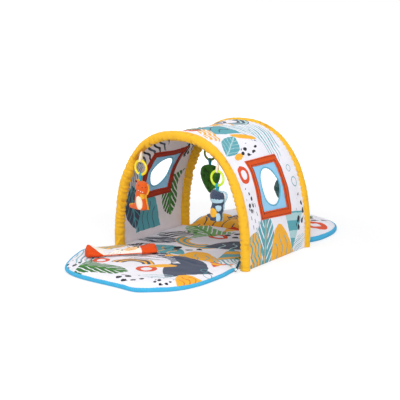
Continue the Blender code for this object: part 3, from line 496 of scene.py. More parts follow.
mat_print = printed_cloth("mat_print", WHITE, (
    ("waves", -0.215, -0.485, 118, 0.115, 0.060, TEAL, PALE_TEAL),
    ("frond", -0.075, -0.575, 12, 0.100, 0.046, GREEN, FRESH_GREEN),
    ("hill", 0.155, -0.425, 62, 0.095, 0.075, SLATE, SLATE),
    ("leaf", 0.135, -0.330, 155, 0.120, 0.044, SLATE, SLATE),
    ("hill", 0.235, -0.500, 75, 0.062, 0.036, MUSTARD, ORANGE),
    ("poppy", 0.055, -0.492, 0, 0.040, 0.036, ORANGE, WHITE),
    ("pebble", 0.080, -0.430, 35, 0.052, 0.020, MUSTARD, MUSTARD),
    ("rainbow", -0.030, -0.465, 25, 0.080, 0.070, SLATE, MUSTARD),
    ("spots", 0.085, -0.600, 20, 0.070, 0.032, BLACK, BLACK),
    ("spots", 0.195, -0.570, 50, 0.040, 0.025, BLACK, BLACK),
    ("spots", -0.225, -0.575, 50, 0.055, 0.035, BLACK, BLACK),
    ("poppy", -0.150, -0.500, 0, 0.034, 0.030, ORANGE, WHITE),
    ("waves", 0.150, -0.545, 25, 0.075, 0.026, TEAL, WHITE),
    ("bubble", 0.262, -0.405, 0, 0.017, 0.016, TEAL, TEAL),
    ("bubble", 0.230, -0.380, 0, 0.015, 0.014, TEAL, TEAL),
    ("waves", -0.040, -0.370, 14, 0.110, 0.038, BLACK, WHITE),
    ("stripes", -0.245, -0.330, 75, 0.080, 0.030, MUSTARD, TEAL),
    ("frond", 0.010, -0.295, 170, 0.095, 0.042, SLATE, SLATE),
    ("peak", 0.215, -0.280, 200, 0.050, 0.050, ORANGE, MUSTARD),
    ("dashes", -0.140, -0.290, 170, 0.070, 0.040, SLATE, SLATE),
    ("hill", -0.110, -0.185, 12, 0.125, 0.055, TEAL, MUSTARD),
    ("leaf", -0.230, -0.215, 60, 0.080, 0.034, BLACK, WHITE),
    ("hill", 0.065, -0.205, 25, 0.105, 0.070, MUSTARD, TEAL),
    ("waves", 0.205, -0.190, 150, 0.095, 0.050, TEAL, PALE_TEAL),
    ("spots", -0.030, -0.130, 35, 0.100, 0.034, BLACK, BLACK),
    ("peak", 0.160, -0.090, 40, 0.080, 0.085, TEAL, MUSTARD),
    ("frond", 0.235, -0.040, 115, 0.090, 0.048, GREEN, FRESH_GREEN),
    ("leaf", -0.190, -0.080, 20, 0.115, 0.046, SLATE, WHITE),
    ("rainbow", -0.050, -0.020, 160, 0.115, 0.090, MUSTARD, TEAL),
    ("hill", 0.090, 0.020, 25, 0.110, 0.062, SLATE, PALE_TEAL),
    ("stripes", -0.200, 0.045, 60, 0.090, 0.045, BLACK, WHITE),
    ("poppy", -0.040, 0.095, 0, 0.042, 0.036, ORANGE, WHITE),
    ("waves", 0.180, 0.110, 190, 0.110, 0.060, TEAL, MUSTARD),
    ("frond", -0.160, 0.150, 150, 0.110, 0.056, FRESH_GREEN, GREEN),
    ("spots", 0.040, 0.170, 30, 0.085, 0.045, BLACK, BLACK),
    ("peak", -0.050, 0.245, 170, 0.095, 0.080, MUSTARD, ORANGE),
    ("leaf", 0.160, 0.240, 15, 0.120, 0.055, SLATE, WHITE),
    ("hill", -0.190, 0.300, 20, 0.120, 0.090, MUSTARD, SLATE),
    ("stripes", 0.020, 0.340, 15, 0.100, 0.045, BLACK, WHITE),
    ("waves", 0.185, 0.345, 100, 0.100, 0.045, TEAL, PALE_TEAL),
    ("poppy", 0.215, 0.425, 0, 0.058, 0.052, ORANGE, WHITE),
    ("leaf", -0.090, 0.420, 70, 0.130, 0.056, SLATE, MUSTARD),
    ("frond", 0.080, 0.475, 60, 0.100, 0.052, GREEN, FRESH_GREEN),
    ("spots", 0.170, 0.540, 60, 0.090, 0.040, BLACK, BLACK),
    ("rainbow", -0.160, 0.540, 40, 0.090, 0.080, TEAL, MUSTARD),
    ("peak", 0.020, 0.575, 190, 0.070, 0.060, ORANGE, MUSTARD),
))
mat_backing = cloth_finish("mat_backing", linear(222, 226, 234))

for label, side in (("front", -1), ("rear", 1)):
    centre = Vector((0.0, side * 0.43))
    wing = mat_panel(label + "_wing_padding", closed_by(wing_edge(side), 50), centre)
    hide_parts(label + "_wing_pad")
    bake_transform(wing)

outline = []
corners = ((FOOT_WAIST, MAT_SEAM), (-FOOT_WAIST, MAT_SEAM), (-FOOT_WAIST, 0.1975), (-0.2965, 0.1935),
           (-0.2965, -0.1935), (-FOOT_WAIST, -0.1975), (-FOOT_WAIST, -MAT_SEAM), (FOOT_WAIST, -MAT_SEAM),
           (FOOT_WAIST, -0.1975), (0.2965, -0.1935), (0.2965, 0.1935), (FOOT_WAIST, 0.1975))
for start, end in zip(corners, corners[1:] + corners[:1]):
    run = Vector(end) - Vector(start)
    count = max(2, round(run.length / 0.009))
    outline += [Vector(start) + run * k / count for k in range(count)]
floor_panel = mat_panel("floor_panel_padding", outline, Vector((0.0, 0.0)))
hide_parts("mat_floor_panel")
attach(floor_panel, "play_gym")


# Binding of the mat: light blue cloth tape wrapped round each wing's rim, puckered where it turns.
# Its ends meet in a small lap seam at the front left.

BINDING_TOP = 0.0042         # how far the tape reaches in over the mat
binding_cloth = cloth_finish("binding_cloth", linear(70, 178, 222), sheen=0.05, pucker=0.0018)


def edge_frames(edge):
    """Each outline point with its distance along the outline and its outward direction."""
    frames, run = [], 0.0
    for k, point in enumerate(edge):
        ahead, behind = edge[min(k + 1, len(edge) - 1)], edge[max(k - 1, 0)]
        along = (ahead - behind).normalized()
        run += (point - edge[k - 1]).length if k else 0.0
        frames.append((point, run, Vector((along.y, -along.x))))
    return frames


def evenly(edge, spacing):
    """The same outline with its points spread at an even spacing."""
    lengths = [0.0]
    for first, second in zip(edge, edge[1:]):
        lengths.append(lengths[-1] + (second - first).length)
    count = max(2, round(lengths[-1] / spacing))
    points, k = [], 0
    for step in range(count + 1):
        run = lengths[-1] * step / count
        while k < len(edge) - 2 and lengths[k + 1] < run:
            k += 1
        share = clamped((run - lengths[k]) / max(1e-9, lengths[k + 1] - lengths[k]))
        points.append(edge[k] + (edge[k + 1] - edge[k]) * share)
    return points


def closed_ends(rings):
    """The rings with a pole in the middle of both ends."""
    first, last = ([sum(map(Vector, ring), Vector()) / len(ring)] for ring in (rings[0], rings[-1]))
    return [first] + rings + [last]


for label, side in (("front", -1), ("rear", 1)):
    frames = edge_frames(evenly(wing_edge(side), 0.003))
    if (frames[len(frames) // 2][2].y > 0) != (side > 0):
        frames = [(point, run, -out) for point, run, out in frames]
    rings = []
    for point, run, out in frames:
        ripple = (math.sin(run * math.tau / 0.0125 + 2.2 * rough(run * 28, side, 0.0))
                  * (0.5 + 0.9 * abs(rough(run * 19, 3.0, side))))
        lap = 0.0013 * bell(run - frames[-1][1] * 0.63, 0.004) if side < 0 else 0.0
        bulge = 0.0006 * ripple + 0.0008 * rough(run * 9, side, 7.0) + lap
        inner = point - out * BINDING_TOP
        over = mat_top(*inner, 0.985) + 0.0009 + 0.0004 * ripple
        row = []
        for out_by, height in ((-BINDING_TOP, over), (-0.0026, over + 0.0001), (0.0002, over - 0.0010),
                               (0.0027 + bulge, over * 0.76), (0.0036 + bulge, over * 0.50),
                               (0.0030 + bulge, over * 0.22), (0.0006, 0.0004), (-0.0040, 0.0),
                               (-0.0040, 0.0010), (-0.0002, 0.0018), (0.0010, over * 0.34),
                               (0.0012, over * 0.62), (-0.0006, over * 0.82), (-0.0026, over - 0.0011),
                               (-BINDING_TOP, over - 0.0010)):
            x, y = point + out * out_by
            row.append((x, y, height + lift_at(x, y)))
        rings.append(row)
    tape = lofted(label + "_binding_tape", closed_ends(rings), binding_cloth)
    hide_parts(label + "_wing_binding")
    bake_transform(tape)


# Canopy, a light padded cloth printed on both faces, sewn to the two arches and hanging a little slack.
# Each side has a square cut-out under its window frames.

ARCH_HALF_SPAN, ARCH_TOP, ARCH_FOOT, ARCH_POWER = 0.2985, 0.4715, 0.030, 2 / 2.34
CANOPY_HALF_LENGTH = 0.1995
CANOPY_HALF_CLOTH = 0.0014
WINDOW_HALF = 0.107          # window frame's outer half width along the tunnel
WINDOW_LOW, WINDOW_HIGH = 0.167, 0.376
FRAME_BORDER = 0.028
SHOULDER_SAG = 0.021         # how far the cloth of the left shoulder hangs in between the arches

arch_points = [Vector((ARCH_HALF_SPAN, 0.0, height)) for height in (0.001, ARCH_FOOT * 0.5)]
for step in range(1201):
    angle = math.pi * step / 1200
    arch_points.append(Vector((signed_power(math.cos(angle), ARCH_POWER) * ARCH_HALF_SPAN, 0.0,
                               ARCH_FOOT + (ARCH_TOP - ARCH_FOOT) * abs(math.sin(angle)) ** ARCH_POWER)))
arch_points += [Vector((-ARCH_HALF_SPAN, 0.0, height)) for height in (ARCH_FOOT * 0.5, 0.001)]
arch_points = evenly(arch_points, 0.001)
spacing = sum((b - a).length for a, b in zip(arch_points, arch_points[1:])) / (len(arch_points) - 1)
ARCH_LENGTH = spacing * (len(arch_points) - 1)


def arch_at(run):
    """Point, outward direction and forward direction on the arches' centre line, from the right foot."""
    exact = min(max(run / spacing, 0.0), len(arch_points) - 1.001)
    k = int(exact)
    point = arch_points[k].lerp(arch_points[k + 1], exact - k)
    along = (arch_points[min(k + 4, len(arch_points) - 1)] - arch_points[max(k - 3, 0)]).normalized()
    return point, Vector((along.z, 0.0, -along.x)), along


def run_at_height(height):
    """Distance along the arch from a foot to a height above the floor."""
    return next(k * spacing for k, point in enumerate(arch_points) if point.z >= height)


def on_canopy(run, y, off=0.0, side=1):
    """A point on the canopy, off its middle surface outwards. Side -1 measures the run from the left foot."""
    run = run if side > 0 else ARCH_LENGTH - run
    point, out, _ = arch_at(run)
    slack = 1 - (y / CANOPY_HALF_LENGTH) ** 2
    height = min(1.0, point.z / 0.12)
    to_sleeve = CANOPY_HALF_LENGTH - abs(y)
    sag = 0.004 + 0.006 * clamped((point.z - 0.22) / 0.2) - 0.0025 * slack * height
    soft = rough(run * 7, y * 9, 1.0) * 0.0056 * min(1.0, to_sleeve / 0.05)
    crumple = rough(run * 24, y * 13, 4.0) * 0.0030 * min(1.0, to_sleeve / 0.02 + 0.3)
    gather = (math.sin(run * math.tau / 0.021 + 3 * rough(run * 11, y, 9.0)) * 0.0014
              * math.exp(-to_sleeve / 0.014))
    place = point + out * (sag + (soft + crumple + gather) * height + off)
    if point.x < 0:
        near = bell(point.z - 0.372, 0.085) * slack ** 0.8
        wrinkle = 0.0030 * math.sin((y + run * 0.35) * math.tau / 0.034) * max(0.0, y / CANOPY_HALF_LENGTH)
        place += (Vector((SHOULDER_SAG * near * (1 + 1.1 * y), 0.0, -0.5 * SHOULDER_SAG * near))
                  - out * wrinkle * near)
    return Vector((place.x, y, max(place.z, 0.0006)))


def cloth_shell(name, columns, rows, place, kept, finishes, thickness):
    """A closed thin cloth on a grid of columns and rows, with two finishes and flat coordinates."""
    index, points, flat = {}, [], []
    for layer, off in ((0, thickness), (1, -thickness)):
        for i, a in enumerate(columns):
            for j, b in enumerate(rows):
                index[layer, i, j] = len(points)
                points.append(place(a, b, off))
                flat.append((b, a, 0.0))
    faces, finish_of, border = [], [], {}
    for i in range(len(columns) - 1):
        for j in range(len(rows) - 1):
            if not kept((columns[i] + columns[i + 1]) / 2, (rows[j] + rows[j + 1]) / 2):
                continue
            corners = ((i, j), (i + 1, j), (i + 1, j + 1), (i, j + 1))
            faces.append([index[0, *corner] for corner in corners])
            faces.append([index[1, *corner] for corner in reversed(corners)])
            finish_of += [0, 1]
            for first, second in zip(corners, corners[1:] + corners[:1]):
                if border.pop((second, first), None) is None:
                    border[first, second] = True
    for first, second in border:
        faces.append([index[0, *second], index[0, *first], index[1, *first], index[1, *second]])
        finish_of.append(0)
    item = mesh_of(name, points, faces, finishes[0])
    item.data.materials.append(finishes[1])
    item.data.polygons.foreach_set("material_index", finish_of)
    lay_flat(item, flat)
    bm = bmesh.new()
    bm.from_mesh(item.data)
    bmesh.ops.delete(bm, geom=[vertex for vertex in bm.verts if not vertex.link_faces], context="VERTS")
    bm.to_mesh(item.data)
    bm.free()
    return item


def stations(low, high, spacing, stops=()):
    """Even values from low to high that include every stop between them."""
    marks = [low] + [stop for stop in sorted(stops) if low < stop < high] + [high]
    values = [low]
    for first, second in zip(marks, marks[1:]):
        count = max(1, round((second - first) / spacing))
        values += [first + (second - first) * k / count for k in range(1, count + 1)]
    return values


canopy_outside = printed_cloth("canopy_outside", WHITE, (
    ("frond", -0.085, 0.085, 82, 0.105, 0.060, TEAL, MUSTARD),
    ("stripes", -0.155, 0.060, 100, 0.070, 0.036, MUSTARD, TEAL),
    ("hill", 0.020, 0.060, 8, 0.085, 0.070, MUSTARD, TEAL),
    ("peak", 0.115, 0.085, 172, 0.060, 0.075, TEAL, PALE_TEAL),
    ("waves", 0.150, 0.030, 20, 0.060, 0.026, TEAL, PALE_TEAL),
    ("spots", 0.165, 0.150, 80, 0.075, 0.028, BLACK, BLACK),
    ("dashes", -0.155, 0.185, 95, 0.055, 0.030, SLATE, SLATE),
    ("spots", -0.160, 0.250, 92, 0.050, 0.020, BLACK, BLACK),
    ("poppy", -0.150, 0.345, 0, 0.030, 0.034, ORANGE, WHITE),
    ("bubble", 0.160, 0.270, 0, 0.018, 0.020, TEAL, TEAL),
    ("bubble", 0.150, 0.325, 0, 0.013, 0.014, TEAL, TEAL),
    ("waves", 0.125, 0.480, 78, 0.130, 0.050, TEAL, PALE_TEAL),
    ("leaf", -0.110, 0.470, 28, 0.090, 0.036, TEAL, PALE_TEAL),
    ("pebble", -0.120, 0.415, 8, 0.030, 0.012, MUSTARD, MUSTARD),
    ("spots", -0.020, 0.440, 15, 0.080, 0.024, BLACK, BLACK),
    ("waves", 0.040, 0.560, 105, 0.110, 0.050, TEAL, PALE_TEAL),
    ("pebble", 0.010, 0.500, 155, 0.060, 0.014, MUSTARD, MUSTARD),
    ("rainbow", 0.135, 0.650, 200, 0.070, 0.080, SLATE, PALE_TEAL),
    ("hill", -0.060, 0.600, 100, 0.090, 0.070, TEAL, SLATE),
    ("stripes", -0.135, 0.560, 60, 0.060, 0.034, MUSTARD, WHITE),
    ("poppy", -0.135, 0.650, 0, 0.036, 0.050, ORANGE, WHITE),
    ("peak", 0.030, 0.665, 60, 0.050, 0.080, MUSTARD, WHITE),
    ("leaf", 0.120, 0.740, 80, 0.100, 0.050, SLATE, WHITE),
    ("frond", -0.060, 0.730, 20, 0.110, 0.056, GREEN, FRESH_GREEN),
    ("stripes", 0.030, 0.800, 20, 0.085, 0.040, BLACK, WHITE),
    ("waves", -0.120, 0.830, 90, 0.100, 0.050, TEAL, PALE_TEAL),
    ("hill", 0.110, 0.850, 190, 0.080, 0.080, MUSTARD, TEAL),
    ("poppy", -0.155, 0.930, 0, 0.034, 0.036, ORANGE, WHITE),
    ("spots", 0.160, 1.000, 80, 0.090, 0.026, BLACK, BLACK),
    ("leaf", -0.080, 1.180, 100, 0.090, 0.050, TEAL, WHITE),
    ("rainbow", 0.110, 1.165, 180, 0.080, 0.070, ORANGE, MUSTARD),
    ("peak", 0.015, 1.180, 190, 0.050, 0.080, SLATE, MUSTARD),
))

canopy_inside = printed_cloth("canopy_inside", PINK_GREY, (
    ("frond", 0.105, 1.110, 80, 0.090, 0.052, GREEN, FRESH_GREEN),
    ("hill", -0.030, 1.150, 180, 0.080, 0.080, TEAL, SLATE),
    ("leaf", -0.135, 1.120, 75, 0.100, 0.046, SLATE, TEAL),
    ("waves", -0.155, 1.000, 84, 0.120, 0.036, TEAL, SLATE),
    ("dashes", 0.040, 1.040, 5, 0.070, 0.018, SLATE, SLATE),
    ("stripes", 0.020, 0.780, 8, 0.120, 0.045, MUSTARD, ORANGE),
    ("waves", -0.135, 0.850, 38, 0.095, 0.075, BLACK, SLATE),
    ("waves", -0.060, 0.760, 25, 0.110, 0.045, BLACK, WHITE),
    ("stripes", 0.130, 0.870, 70, 0.070, 0.040, BLACK, WHITE),
    ("rainbow", -0.020, 0.670, 150, 0.090, 0.080, MUSTARD, ORANGE),
    ("poppy", 0.140, 0.740, 0, 0.034, 0.040, ORANGE, PINK_GREY),
    ("leaf", -0.100, 0.570, 10, 0.100, 0.046, TEAL, PALE_TEAL),
    ("peak", 0.090, 0.590, 160, 0.070, 0.080, MUSTARD, ORANGE),
    ("hill", 0.000, 0.470, 20, 0.090, 0.070, SLATE, PALE_TEAL),
    ("stripes", 0.140, 0.450, 80, 0.080, 0.045, BLACK, WHITE),
    ("frond", -0.150, 0.380, 100, 0.100, 0.045, FRESH_GREEN, GREEN),
    ("leaf", 0.110, 0.100, 80, 0.100, 0.050, GREEN, FRESH_GREEN),
    ("hill", -0.060, 0.080, 5, 0.090, 0.080, TEAL, SLATE),
    ("spots", 0.010, 0.140, 45, 0.060, 0.030, BLACK, BLACK),
))

frame_low, frame_high = run_at_height(WINDOW_LOW), run_at_height(WINDOW_HIGH)
cut_in = FRAME_BORDER * 0.62
cut_runs = (frame_low + cut_in, frame_high - cut_in)
cut_half = WINDOW_HALF - cut_in


def window_slant(run, y):
    """How far the right window's lower part is drawn down towards the rear."""
    return 0.016 * (frame_high - run) / (frame_high - frame_low) * (y + WINDOW_HALF) / (2 * WINDOW_HALF)


def outside_windows(run, y):
    from_foot = run + window_slant(run, y) if run < ARCH_LENGTH / 2 else ARCH_LENGTH - run
    return not (cut_runs[0] < from_foot < cut_runs[1] and abs(y) < cut_half)


canopy = cloth_shell("canopy_cloth",
                     stations(0.0, ARCH_LENGTH, 0.0042,
                              cut_runs + tuple(ARCH_LENGTH - run for run in cut_runs)),
                     stations(-CANOPY_HALF_LENGTH, CANOPY_HALF_LENGTH, 0.0042, (-cut_half, cut_half)),
                     on_canopy, outside_windows, (canopy_outside, canopy_inside), CANOPY_HALF_CLOTH)
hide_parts("canopy")
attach(canopy, "play_gym")


# Arch sleeves, yellow cloth tubes over the padded rods, gathered on the inner side of the curve.
# A seam groove marks where each meets the canopy, and each foot ends in a turned hem.

SLEEVE_RADIUS = 0.0172
ARCH_PLANE = 0.216
LOOP_X = {-1: (-0.194, 0.203), 1: (-0.180, 0.202)}      # the sleeves keep clear of the rings here
loop_runs = {side: [next(k * spacing for k, point in enumerate(arch_points) if point.z > 0.2 and point.x <= x)
                    for x in places] for side, places in LOOP_X.items()}
sleeve_cloth = cloth_finish("sleeve_cloth", linear(242, 184, 34), roughness=0.62, sheen=0.12, pucker=0.0016)
shader = sleeve_cloth.node_tree.nodes["Principled BSDF"]
# Painted shade in the folds: where the sleeve is drawn in, its yellow is mixed towards a dark brown-orange.
depth = new_node(sleeve_cloth.node_tree, "ShaderNodeAttribute", attribute_name="raised")
painted_fold_shade = new_node(sleeve_cloth.node_tree, "ShaderNodeMix",       # painted shade: the yellow turns brown-orange down in the folds
                  {"Factor": depth.outputs["Fac"], "A": linear(186, 112, 12),
                   "B": shader.inputs["Base Color"].links[0].from_socket}, data_type="RGBA")
fed(shader, {"Base Color": painted_fold_shade.outputs["Result"]})


def turns(count):
    """Even angles round a circle."""
    return [math.tau * k / count for k in range(count)]


def sleeve_radius(run, angle, side):
    """The sleeve's radius along the arch. Angle 0 faces out of the arch and 180 degrees into it."""
    around, across = math.cos(angle), math.sin(angle)
    inward = 0.5 - 0.5 * around
    from_end = min(run, ARCH_LENGTH - run)
    bend = clamped((from_end - 0.02) / 0.16)
    left = clamped((run - ARCH_LENGTH * 0.55) / 0.25)
    wander = 4.6 * rough(run * 19, side, 0.5 * around) + 2.4 * rough(run * 43, side, 3.0)
    fold = math.sin(run * math.tau / 0.0225 + wander + 0.8 * math.sin(angle * 2) + 2.0 * left * across)
    gather = ((fold * 0.5 + 0.5) ** 1.7 * 0.0074 * (0.05 + 0.34 * left + 0.95 * inward ** 2.6)
              * (0.3 + 0.7 * bend))
    coarse = rough(run * 14, around * 0.8, across * 0.8 + side) * (0.0013 + 0.0010 * left)
    fine = rough(run * 95, around * 1.3, across * 1.3 + side) * 0.0013
    hem = 0.0007 * bell(from_end - 0.006, 0.0045) - 0.0009 * bell(from_end - 0.0135, 0.0022)
    seam = -0.0008 * bell(angle - math.radians(208), 0.05)
    loose = (0.0018 + 0.0040 * left) * inward
    radius = max(0.0152, SLEEVE_RADIUS + 0.0005 + coarse + fine - gather * 0.62 + loose + hem + seam)
    drawn_in = max(math.exp(-((run - at) / 0.060) ** 4) for at in loop_runs[side])
    return radius - max(0.0, radius - 0.0154) * drawn_in * clamped((inward - 0.5) * 4)


for label, side in (("front", -1), ("rear", 1)):
    rings, raised = [], []
    count = round(ARCH_LENGTH / 0.0022)
    for step in range(count + 1):
        run = ARCH_LENGTH * step / count
        point, out, _ = arch_at(run)
        row = []
        for angle in turns(56):
            radius = sleeve_radius(run, angle, side)
            raised.append(clamped((radius - 0.0150) / 0.0024))
            place = point + out * (radius * math.cos(angle))
            row.append(Vector((place.x, side * (ARCH_PLANE + radius * math.sin(angle)), max(place.z, 0.0))))
        rings.append(row)
    first, *_, last = closed_ends(rings)
    small_first, small_last = ([end[0].lerp(point, 0.9) for point in ring]
                               for end, ring in ((first, rings[0]), (last, rings[-1])))
    sleeve = lofted(label + "_sleeve_cloth", [first, small_first] + rings + [small_last, last], sleeve_cloth)
    raised = [1.0] * 57 + raised + [1.0] * 57
    sleeve.data.attributes.new("raised", "FLOAT", "POINT").data.foreach_set("value", raised)
    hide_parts(label + "_arch_sleeve")
    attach(sleeve, "play_gym")


# Windows: on each side a light blue panel with an oval opening, between an orange frame on either face.
# Each frame is mitred felt-like cloth with a dark running stitch whose lines cross at the corners.

frame_cloth = cloth_finish("frame_cloth", linear(224, 82, 20), sheen=0.04, pucker=0.0014)
# The inside frames are the same orange cloth, painted darker as painted shade for the tunnel's inside.
inner_frame_painted_shade = cloth_finish("inner_frame_painted_shade", linear(176, 50, 18), sheen=0.04, pucker=0.0018)
panel_cloth = cloth_finish("panel_cloth", linear(150, 205, 240), pucker=0.0012)
trim_cloth = cloth_finish("trim_cloth", linear(96, 176, 205), pucker=0.0008)
HOLE_HALF_Y, HOLE_HALF_RUN = 0.060, 0.070
hole_run = (frame_low + frame_high) / 2 + 0.002


def stitch_group():
    """Geometry nodes that lay a running stitch along every polyline of a mesh."""
    tree = bpy.data.node_groups.new("running_stitch", "GeometryNodeTree")
    tree.interface.new_socket("Geometry", in_out="INPUT", socket_type="NodeSocketGeometry")
    for label in ("Pitch", "Stitch length", "Thread"):
        tree.interface.new_socket(label, in_out="INPUT", socket_type="NodeSocketFloat")
    tree.interface.new_socket("Finish", in_out="INPUT", socket_type="NodeSocketMaterial")
    tree.interface.new_socket("Geometry", in_out="OUTPUT", socket_type="NodeSocketGeometry")
    given = new_node(tree, "NodeGroupInput").outputs
    line = new_node(tree, "GeometryNodeMeshToCurve", {"Mesh": given["Geometry"]})
    spread = new_node(tree, "GeometryNodeResampleCurve", {"Curve": line.outputs[0], "Length": given["Pitch"]},
                      mode="LENGTH")
    tangent = new_node(tree, "GeometryNodeInputTangent")
    turned = new_node(tree, "FunctionNodeAlignRotationToVector", {"Vector": tangent.outputs[0]}, axis="X")
    ends = {"Resolution": 6}
    for label, share in (("Start", -0.5), ("Start Handle", -0.25), ("End Handle", 0.25), ("End", 0.5)):
        along = Measure(given["Stitch length"]) * share
        ends[label] = new_node(tree, "ShaderNodeCombineXYZ", {0: along.socket}).outputs[0]
    thread = new_node(tree, "GeometryNodeCurvePrimitiveBezierSegment", ends)
    ring = new_node(tree, "GeometryNodeCurvePrimitiveCircle", {"Resolution": 8, "Radius": given["Thread"]})
    round_thread = new_node(tree, "GeometryNodeCurveToMesh", {"Curve": thread.outputs[0], "Fill Caps": True,
                                                              "Profile Curve": ring.outputs[0]})
    if "Scale" in round_thread.inputs:
        factor = new_node(tree, "GeometryNodeSplineParameter").outputs["Factor"]
        fed(round_thread, {"Scale": Measure(factor).math("MULTIPLY_ADD", 2.6, 0.27).math("SINE").socket})
    placed = new_node(tree, "GeometryNodeInstanceOnPoints", {
        "Points": spread.outputs[0], "Instance": round_thread.outputs[0], "Rotation": turned.outputs[0]})
    real = new_node(tree, "GeometryNodeRealizeInstances", {0: placed.outputs[0]})
    dressed = new_node(tree, "GeometryNodeSetMaterial", {0: real.outputs[0], "Material": given["Finish"]})
    new_node(tree, "NodeGroupOutput", {0: dressed.outputs[0]})
    return tree


running_stitch = stitch_group()


def made_real(item):
    """The object with its modifiers made part of its mesh."""
    item.data = bpy.data.meshes.new_from_object(item.evaluated_get(bpy.context.evaluated_depsgraph_get()))
    item.modifiers.clear()
    item.data.shade_smooth()
    return item


def stitched(name, paths, finish, pitch, length, thread):
    """A row of stitches along each path of points, made real as one mesh."""
    points, edges = [], []
    for path in paths:
        edges += [(len(points) + k, len(points) + k + 1) for k in range(len(path) - 1)]
        points += [tuple(point) for point in path]
    data = bpy.data.meshes.new(name)
    data.from_pydata(points, edges, [])
    item = in_scene(name, data)
    rows = item.modifiers.new("rows", "NODES")
    rows.node_group = running_stitch
    chosen = {"Pitch": pitch, "Stitch length": length, "Thread": thread, "Finish": finish}
    for socket in running_stitch.interface.items_tree:
        if socket.name in chosen:
            rows[socket.identifier] = chosen[socket.name]
    return made_real(item)


def rectangle(half_y, low, high, count):
    """Points (y, run) round a rectangle, the same count on each side, from its lower left corner."""
    corners = ((-half_y, low), (half_y, low), (half_y, high), (-half_y, high))
    return [(y + (next_y - y) * k / count, run + (next_run - run) * k / count)
            for (y, run), (next_y, next_run) in zip(corners, corners[1:] + corners[:1])
            for k in range(count)]


def on_window(run, y, off, side):
    """A point on the canopy at a window."""
    return on_canopy(run - window_slant(run, y) if side > 0 else run, y, off, side)


def patch_between(name, outer, inner, steps, height, thickness, finish, side, facing):
    """A thin closed patch between two outlines on the canopy. It stands off by height at each point."""
    def layer(share, sunk):
        row = []
        for k, ((ya, ra), (yb, rb)) in enumerate(zip(outer, inner)):
            y, run = ya + (yb - ya) * share, ra + (rb - ra) * share
            row.append(on_window(run, y, facing * (height(share, k, y, run) - sunk), side))
        return row

    shares = [step / steps for step in range(steps + 1)]
    layers = [layer(share, 0.0) for share in shares] + [layer(share, thickness) for share in reversed(shares)]
    return lofted(name, layers, finish, closed_path=True)


dark_thread = cloth_finish("dark_thread", linear(20, 20, 34), weave=0.0004)
frame_middle = (frame_low + frame_high) / 2
for label, side in (("left", -1), ("right", 1)):
    for place, facing in (("outside", 1), ("inside", -1)):
        outer = rectangle(WINDOW_HALF, frame_low, frame_high, 60)
        inner = []
        for k, (y, run) in enumerate(rectangle(WINDOW_HALF - FRAME_BORDER, frame_low + FRAME_BORDER,
                                               frame_high - FRAME_BORDER, 60)):
            wobble = 0.020 * rough(k * 0.35, side * 5.0, facing) + 0.015 * rough(k * 1.3, side * 3.0, facing)
            inner.append((y * (1 + wobble), run + (run - frame_middle) * wobble))

        def frame_height(share, k, y, run):
            soft = 0.0010 * math.sin(math.pi * min(1.0, share * 1.05)) ** 0.6
            mitre = 0.0007 * bell(min(k % 60, 60 - k % 60), 0.9)
            pucker = 0.0009 * share ** 2 * rough(k * 0.9, share * 2, facing * 4.0)
            return CANOPY_HALF_CLOTH + 0.0012 + soft - mitre + pucker

        border = patch_between(f"{label}_frame_{place}", outer, inner, 10, frame_height, 0.0011,
                               frame_cloth if facing > 0 else inner_frame_painted_shade, side, facing)
        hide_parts(f"{label}_window_frame_{place}")
        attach(border, "play_gym")
        rows = []
        for inset in (FRAME_BORDER * 0.20, FRAME_BORDER * 0.80):
            low, high, half = frame_low + inset, frame_high - inset, WINDOW_HALF - inset
            path = []
            for y, run in rectangle(half, low, high, 40) + [(-half, low)]:
                drift = Vector((y * 60, run * 60, side + facing))
                path.append(on_window(run + 0.0008 * noise.noise(drift),
                                      y + 0.0008 * noise.noise(drift * 1.3),
                                      facing * (CANOPY_HALF_CLOTH + 0.0040), side))
            rows.append(path)
        seam = stitched(f"{label}_frame_stitches_{place}", rows, dark_thread, 0.0080, 0.0080, 0.0023)
        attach(seam, "play_gym")

    square = rectangle(cut_half + 0.004, cut_runs[0] - 0.004, cut_runs[1] + 0.004, 40)
    bearings = [math.atan2(run - frame_middle, y) for y, run in square]
    oval = [(HOLE_HALF_Y * math.cos(turn), hole_run + HOLE_HALF_RUN * math.sin(turn)) for turn in bearings]

    def panel_height(share, k, y, run):
        return 0.0002 + 0.0016 * math.sin(math.pi * share ** 2.2) + 0.0006 * rough(y * 60, run * 60, 2.0)

    panel = patch_between(label + "_panel_cloth", square, oval, 14, panel_height, 0.0012,
                          panel_cloth, side, 1)
    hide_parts(label + "_window_panel")
    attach(panel, "play_gym")

    rings = []
    for step, turn in enumerate(turns(160)):
        swell = 1 + 0.12 * math.sin(step * math.tau / 5.0)
        row = []
        for angle in turns(14):
            reach = 0.001 + 0.0030 * swell * math.cos(angle)
            row.append(on_window(hole_run + (HOLE_HALF_RUN + reach) * math.sin(turn),
                                 (HOLE_HALF_Y + reach) * math.cos(turn),
                                 0.0004 + 0.0024 * swell * math.sin(angle), side))
        rings.append(row)
    trim = lofted(label + "_opening_trim", rings, trim_cloth, closed_path=True)
    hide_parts(label + "_window_trim")
    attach(trim, "play_gym")


# Toy loops: cream ribbon folded round each ring's wire and sewn into the sleeve.
# Rings: moulded plastic links with a parting line round the middle, the lime one with small raised beads.

RING_RADIUS, WIRE_RADIUS = 0.02675, 0.00425
WIRE_REACH = 0.0050           # half thickness of the wire within the ring's plane
HANGERS = {                  # x, y and height of the wire's middle at the top of each ring
    "front_left": (-0.1775, -0.228, 0.36067),
    "front_right": (0.180, -0.228, 0.36041),
    "rear_left": (-0.163, 0.212, 0.35495),
    "rear_right": (0.186, 0.212, 0.34847),
}
loop_ribbon = cloth_finish("loop_ribbon", linear(246, 232, 205), roughness=0.6, weave=0.0004, pucker=0.0004)


